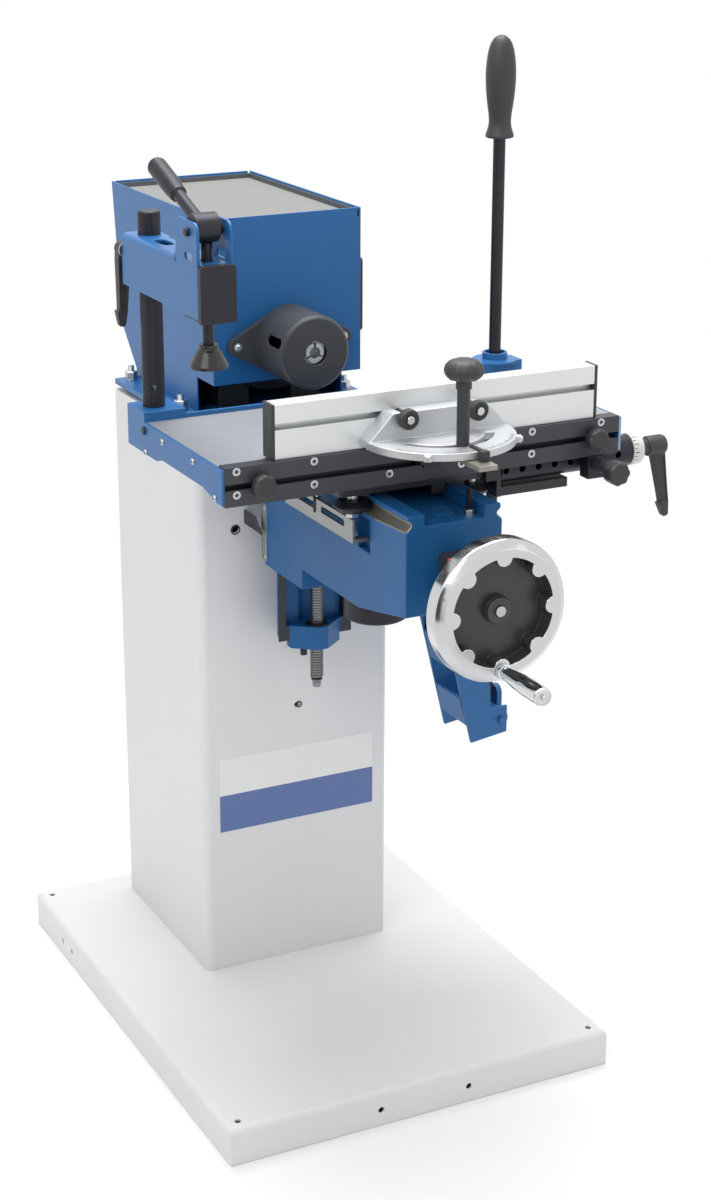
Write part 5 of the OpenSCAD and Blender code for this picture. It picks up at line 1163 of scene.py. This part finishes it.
class MORTISER_OT_clamp(bpy.types.Operator):
    """Hold-down clamp: post, arm, cam lever, spindle and foot"""
    bl_idname = "mortiser.clamp"
    bl_label = "Hold-down clamp"

    def execute(self, context):
        dress("clamp_post", "oxide", 0.8)
        dress("clamp_arm", "blue", sizes().sheet_edge / MM)
        dress("arm_end_block", "oxide", 0.8)
        self.arm_lock()
        dress("cam_lever", "oxide", 1.0, 3)
        dress("clamp_spindle", "oxide", 0.5)
        dress("clamp_foot", "rubber_gloss", 0.8, 3)
        return {"FINISHED"}

    def arm_lock(self):
        """Moulded clamp lever behind the arm, with a bright screw through its hub."""
        low, high = span("arm_lock_lever")
        hub_r, arm_l, arm_y, arm_lean = 10, 104, 13, 4
        at = (high.x - hub_r, low.y - 0.1, high.z - hub_r)
        hub = turned("hub", [(9.4, 0.1), (hub_r, 0.6), (hub_r, 3), (9, 4), (hub_r, 6), (hub_r, 20), (8, 23),
                             (3, 24)], at, TO_REAR, edge=0.3)
        arm = put(clamp_handle(arm_l), (at[0], at[1] + arm_y, at[2]), (0, arm_lean, 0))
        carry(joined("arm_lock_moulded", [hub, arm]), "arm_lock_lever", "plastic", stands_for=True)
        screw = turned("arm_lock_screw", [(10.6, 0.4), (10.6, 2.6)], at, TO_REAR, 40)
        carry(screw, "arm_lock_lever", "zinc")


class MORTISER_OT_lever(bpy.types.Operator):
    """Hand lever with its grip and yoke"""
    bl_idname = "mortiser.lever"
    bl_label = "Hand lever"

    def execute(self, context):
        dress("lever_yoke", "blue", 0.8)
        dress("control_lever", "oxide", 0.5)
        self.grip()
        return {"FINISHED"}

    def grip(self):
        """Moulded grip: flare at the foot, waist, swelling and round end."""
        low, high = span("lever_grip")
        r = (high.x - low.x) / 2
        at = (*middle("lever_grip")[:2], low.z)
        h = high.z - low.z
        flare = [(0.80, 0), (0.90, 0.8), (0.94, 2.5), (0.93, 5), (0.84, 10), (0.76, 16)]
        waist = [(0.73, 23), (0.76, 32), (0.83, 42)]
        swelling = [(0.91, 54), (0.97, 68), (1, 82), (0.985, 95), (0.93, 108)]
        end = [(0.84, 119), (0.70, 128), (0.52, 134), (0.30, 137.5), (0.08, h)]
        shape = [(r * k, z) for k, z in flare + waist + swelling + end]
        grip = turned("lever_grip_moulded", shape, at, steps=64)
        carry(grip, "lever_grip", "plastic", stands_for=True)


class MORTISER_PT_panel(bpy.types.Panel):
    """Lists the sizes, the colours and the steps"""
    bl_idname = "MORTISER_PT_panel"
    bl_label = "Slot mortiser"
    bl_space_type = "VIEW_3D"
    bl_region_type = "UI"
    bl_category = "Mortiser"

    def draw(self, context):
        for group in (colours(), sizes()):
            for key in group.__annotations__:
                self.layout.prop(group, key)
        for step in STEPS:
            self.layout.operator(step.bl_idname)


STEPS = (MORTISER_OT_stage, MORTISER_OT_stand, MORTISER_OT_head, MORTISER_OT_knee, MORTISER_OT_handwheel,
         MORTISER_OT_saddle, MORTISER_OT_table, MORTISER_OT_gauge, MORTISER_OT_clamp, MORTISER_OT_lever)
CLASSES = (MortiserColours, MortiserSizes, *STEPS, MORTISER_PT_panel)


def register():
    """Makes the properties, the steps and the panel known to Blender."""
    for cls in CLASSES:
        bpy.utils.register_class(cls)
    bpy.types.Scene.mortiser_colours = bpy.props.PointerProperty(type=MortiserColours)
    bpy.types.Scene.mortiser_sizes = bpy.props.PointerProperty(type=MortiserSizes)


def unregister():
    """Takes them away again."""
    del bpy.types.Scene.mortiser_sizes
    del bpy.types.Scene.mortiser_colours
    for cls in reversed(CLASSES):
        bpy.utils.unregister_class(cls)


def main():
    """Builds the stage and every group of pieces."""
    register()
    FINISH.update(make_finishes())
    bpy.ops.mortiser.stage()
    bpy.ops.mortiser.stand()
    bpy.ops.mortiser.head()
    bpy.ops.mortiser.knee()
    bpy.ops.mortiser.handwheel()
    bpy.ops.mortiser.saddle()
    bpy.ops.mortiser.table()
    bpy.ops.mortiser.gauge()
    bpy.ops.mortiser.clamp()
    bpy.ops.mortiser.lever()
    fresh()


if __name__ == "__main__":
    main()
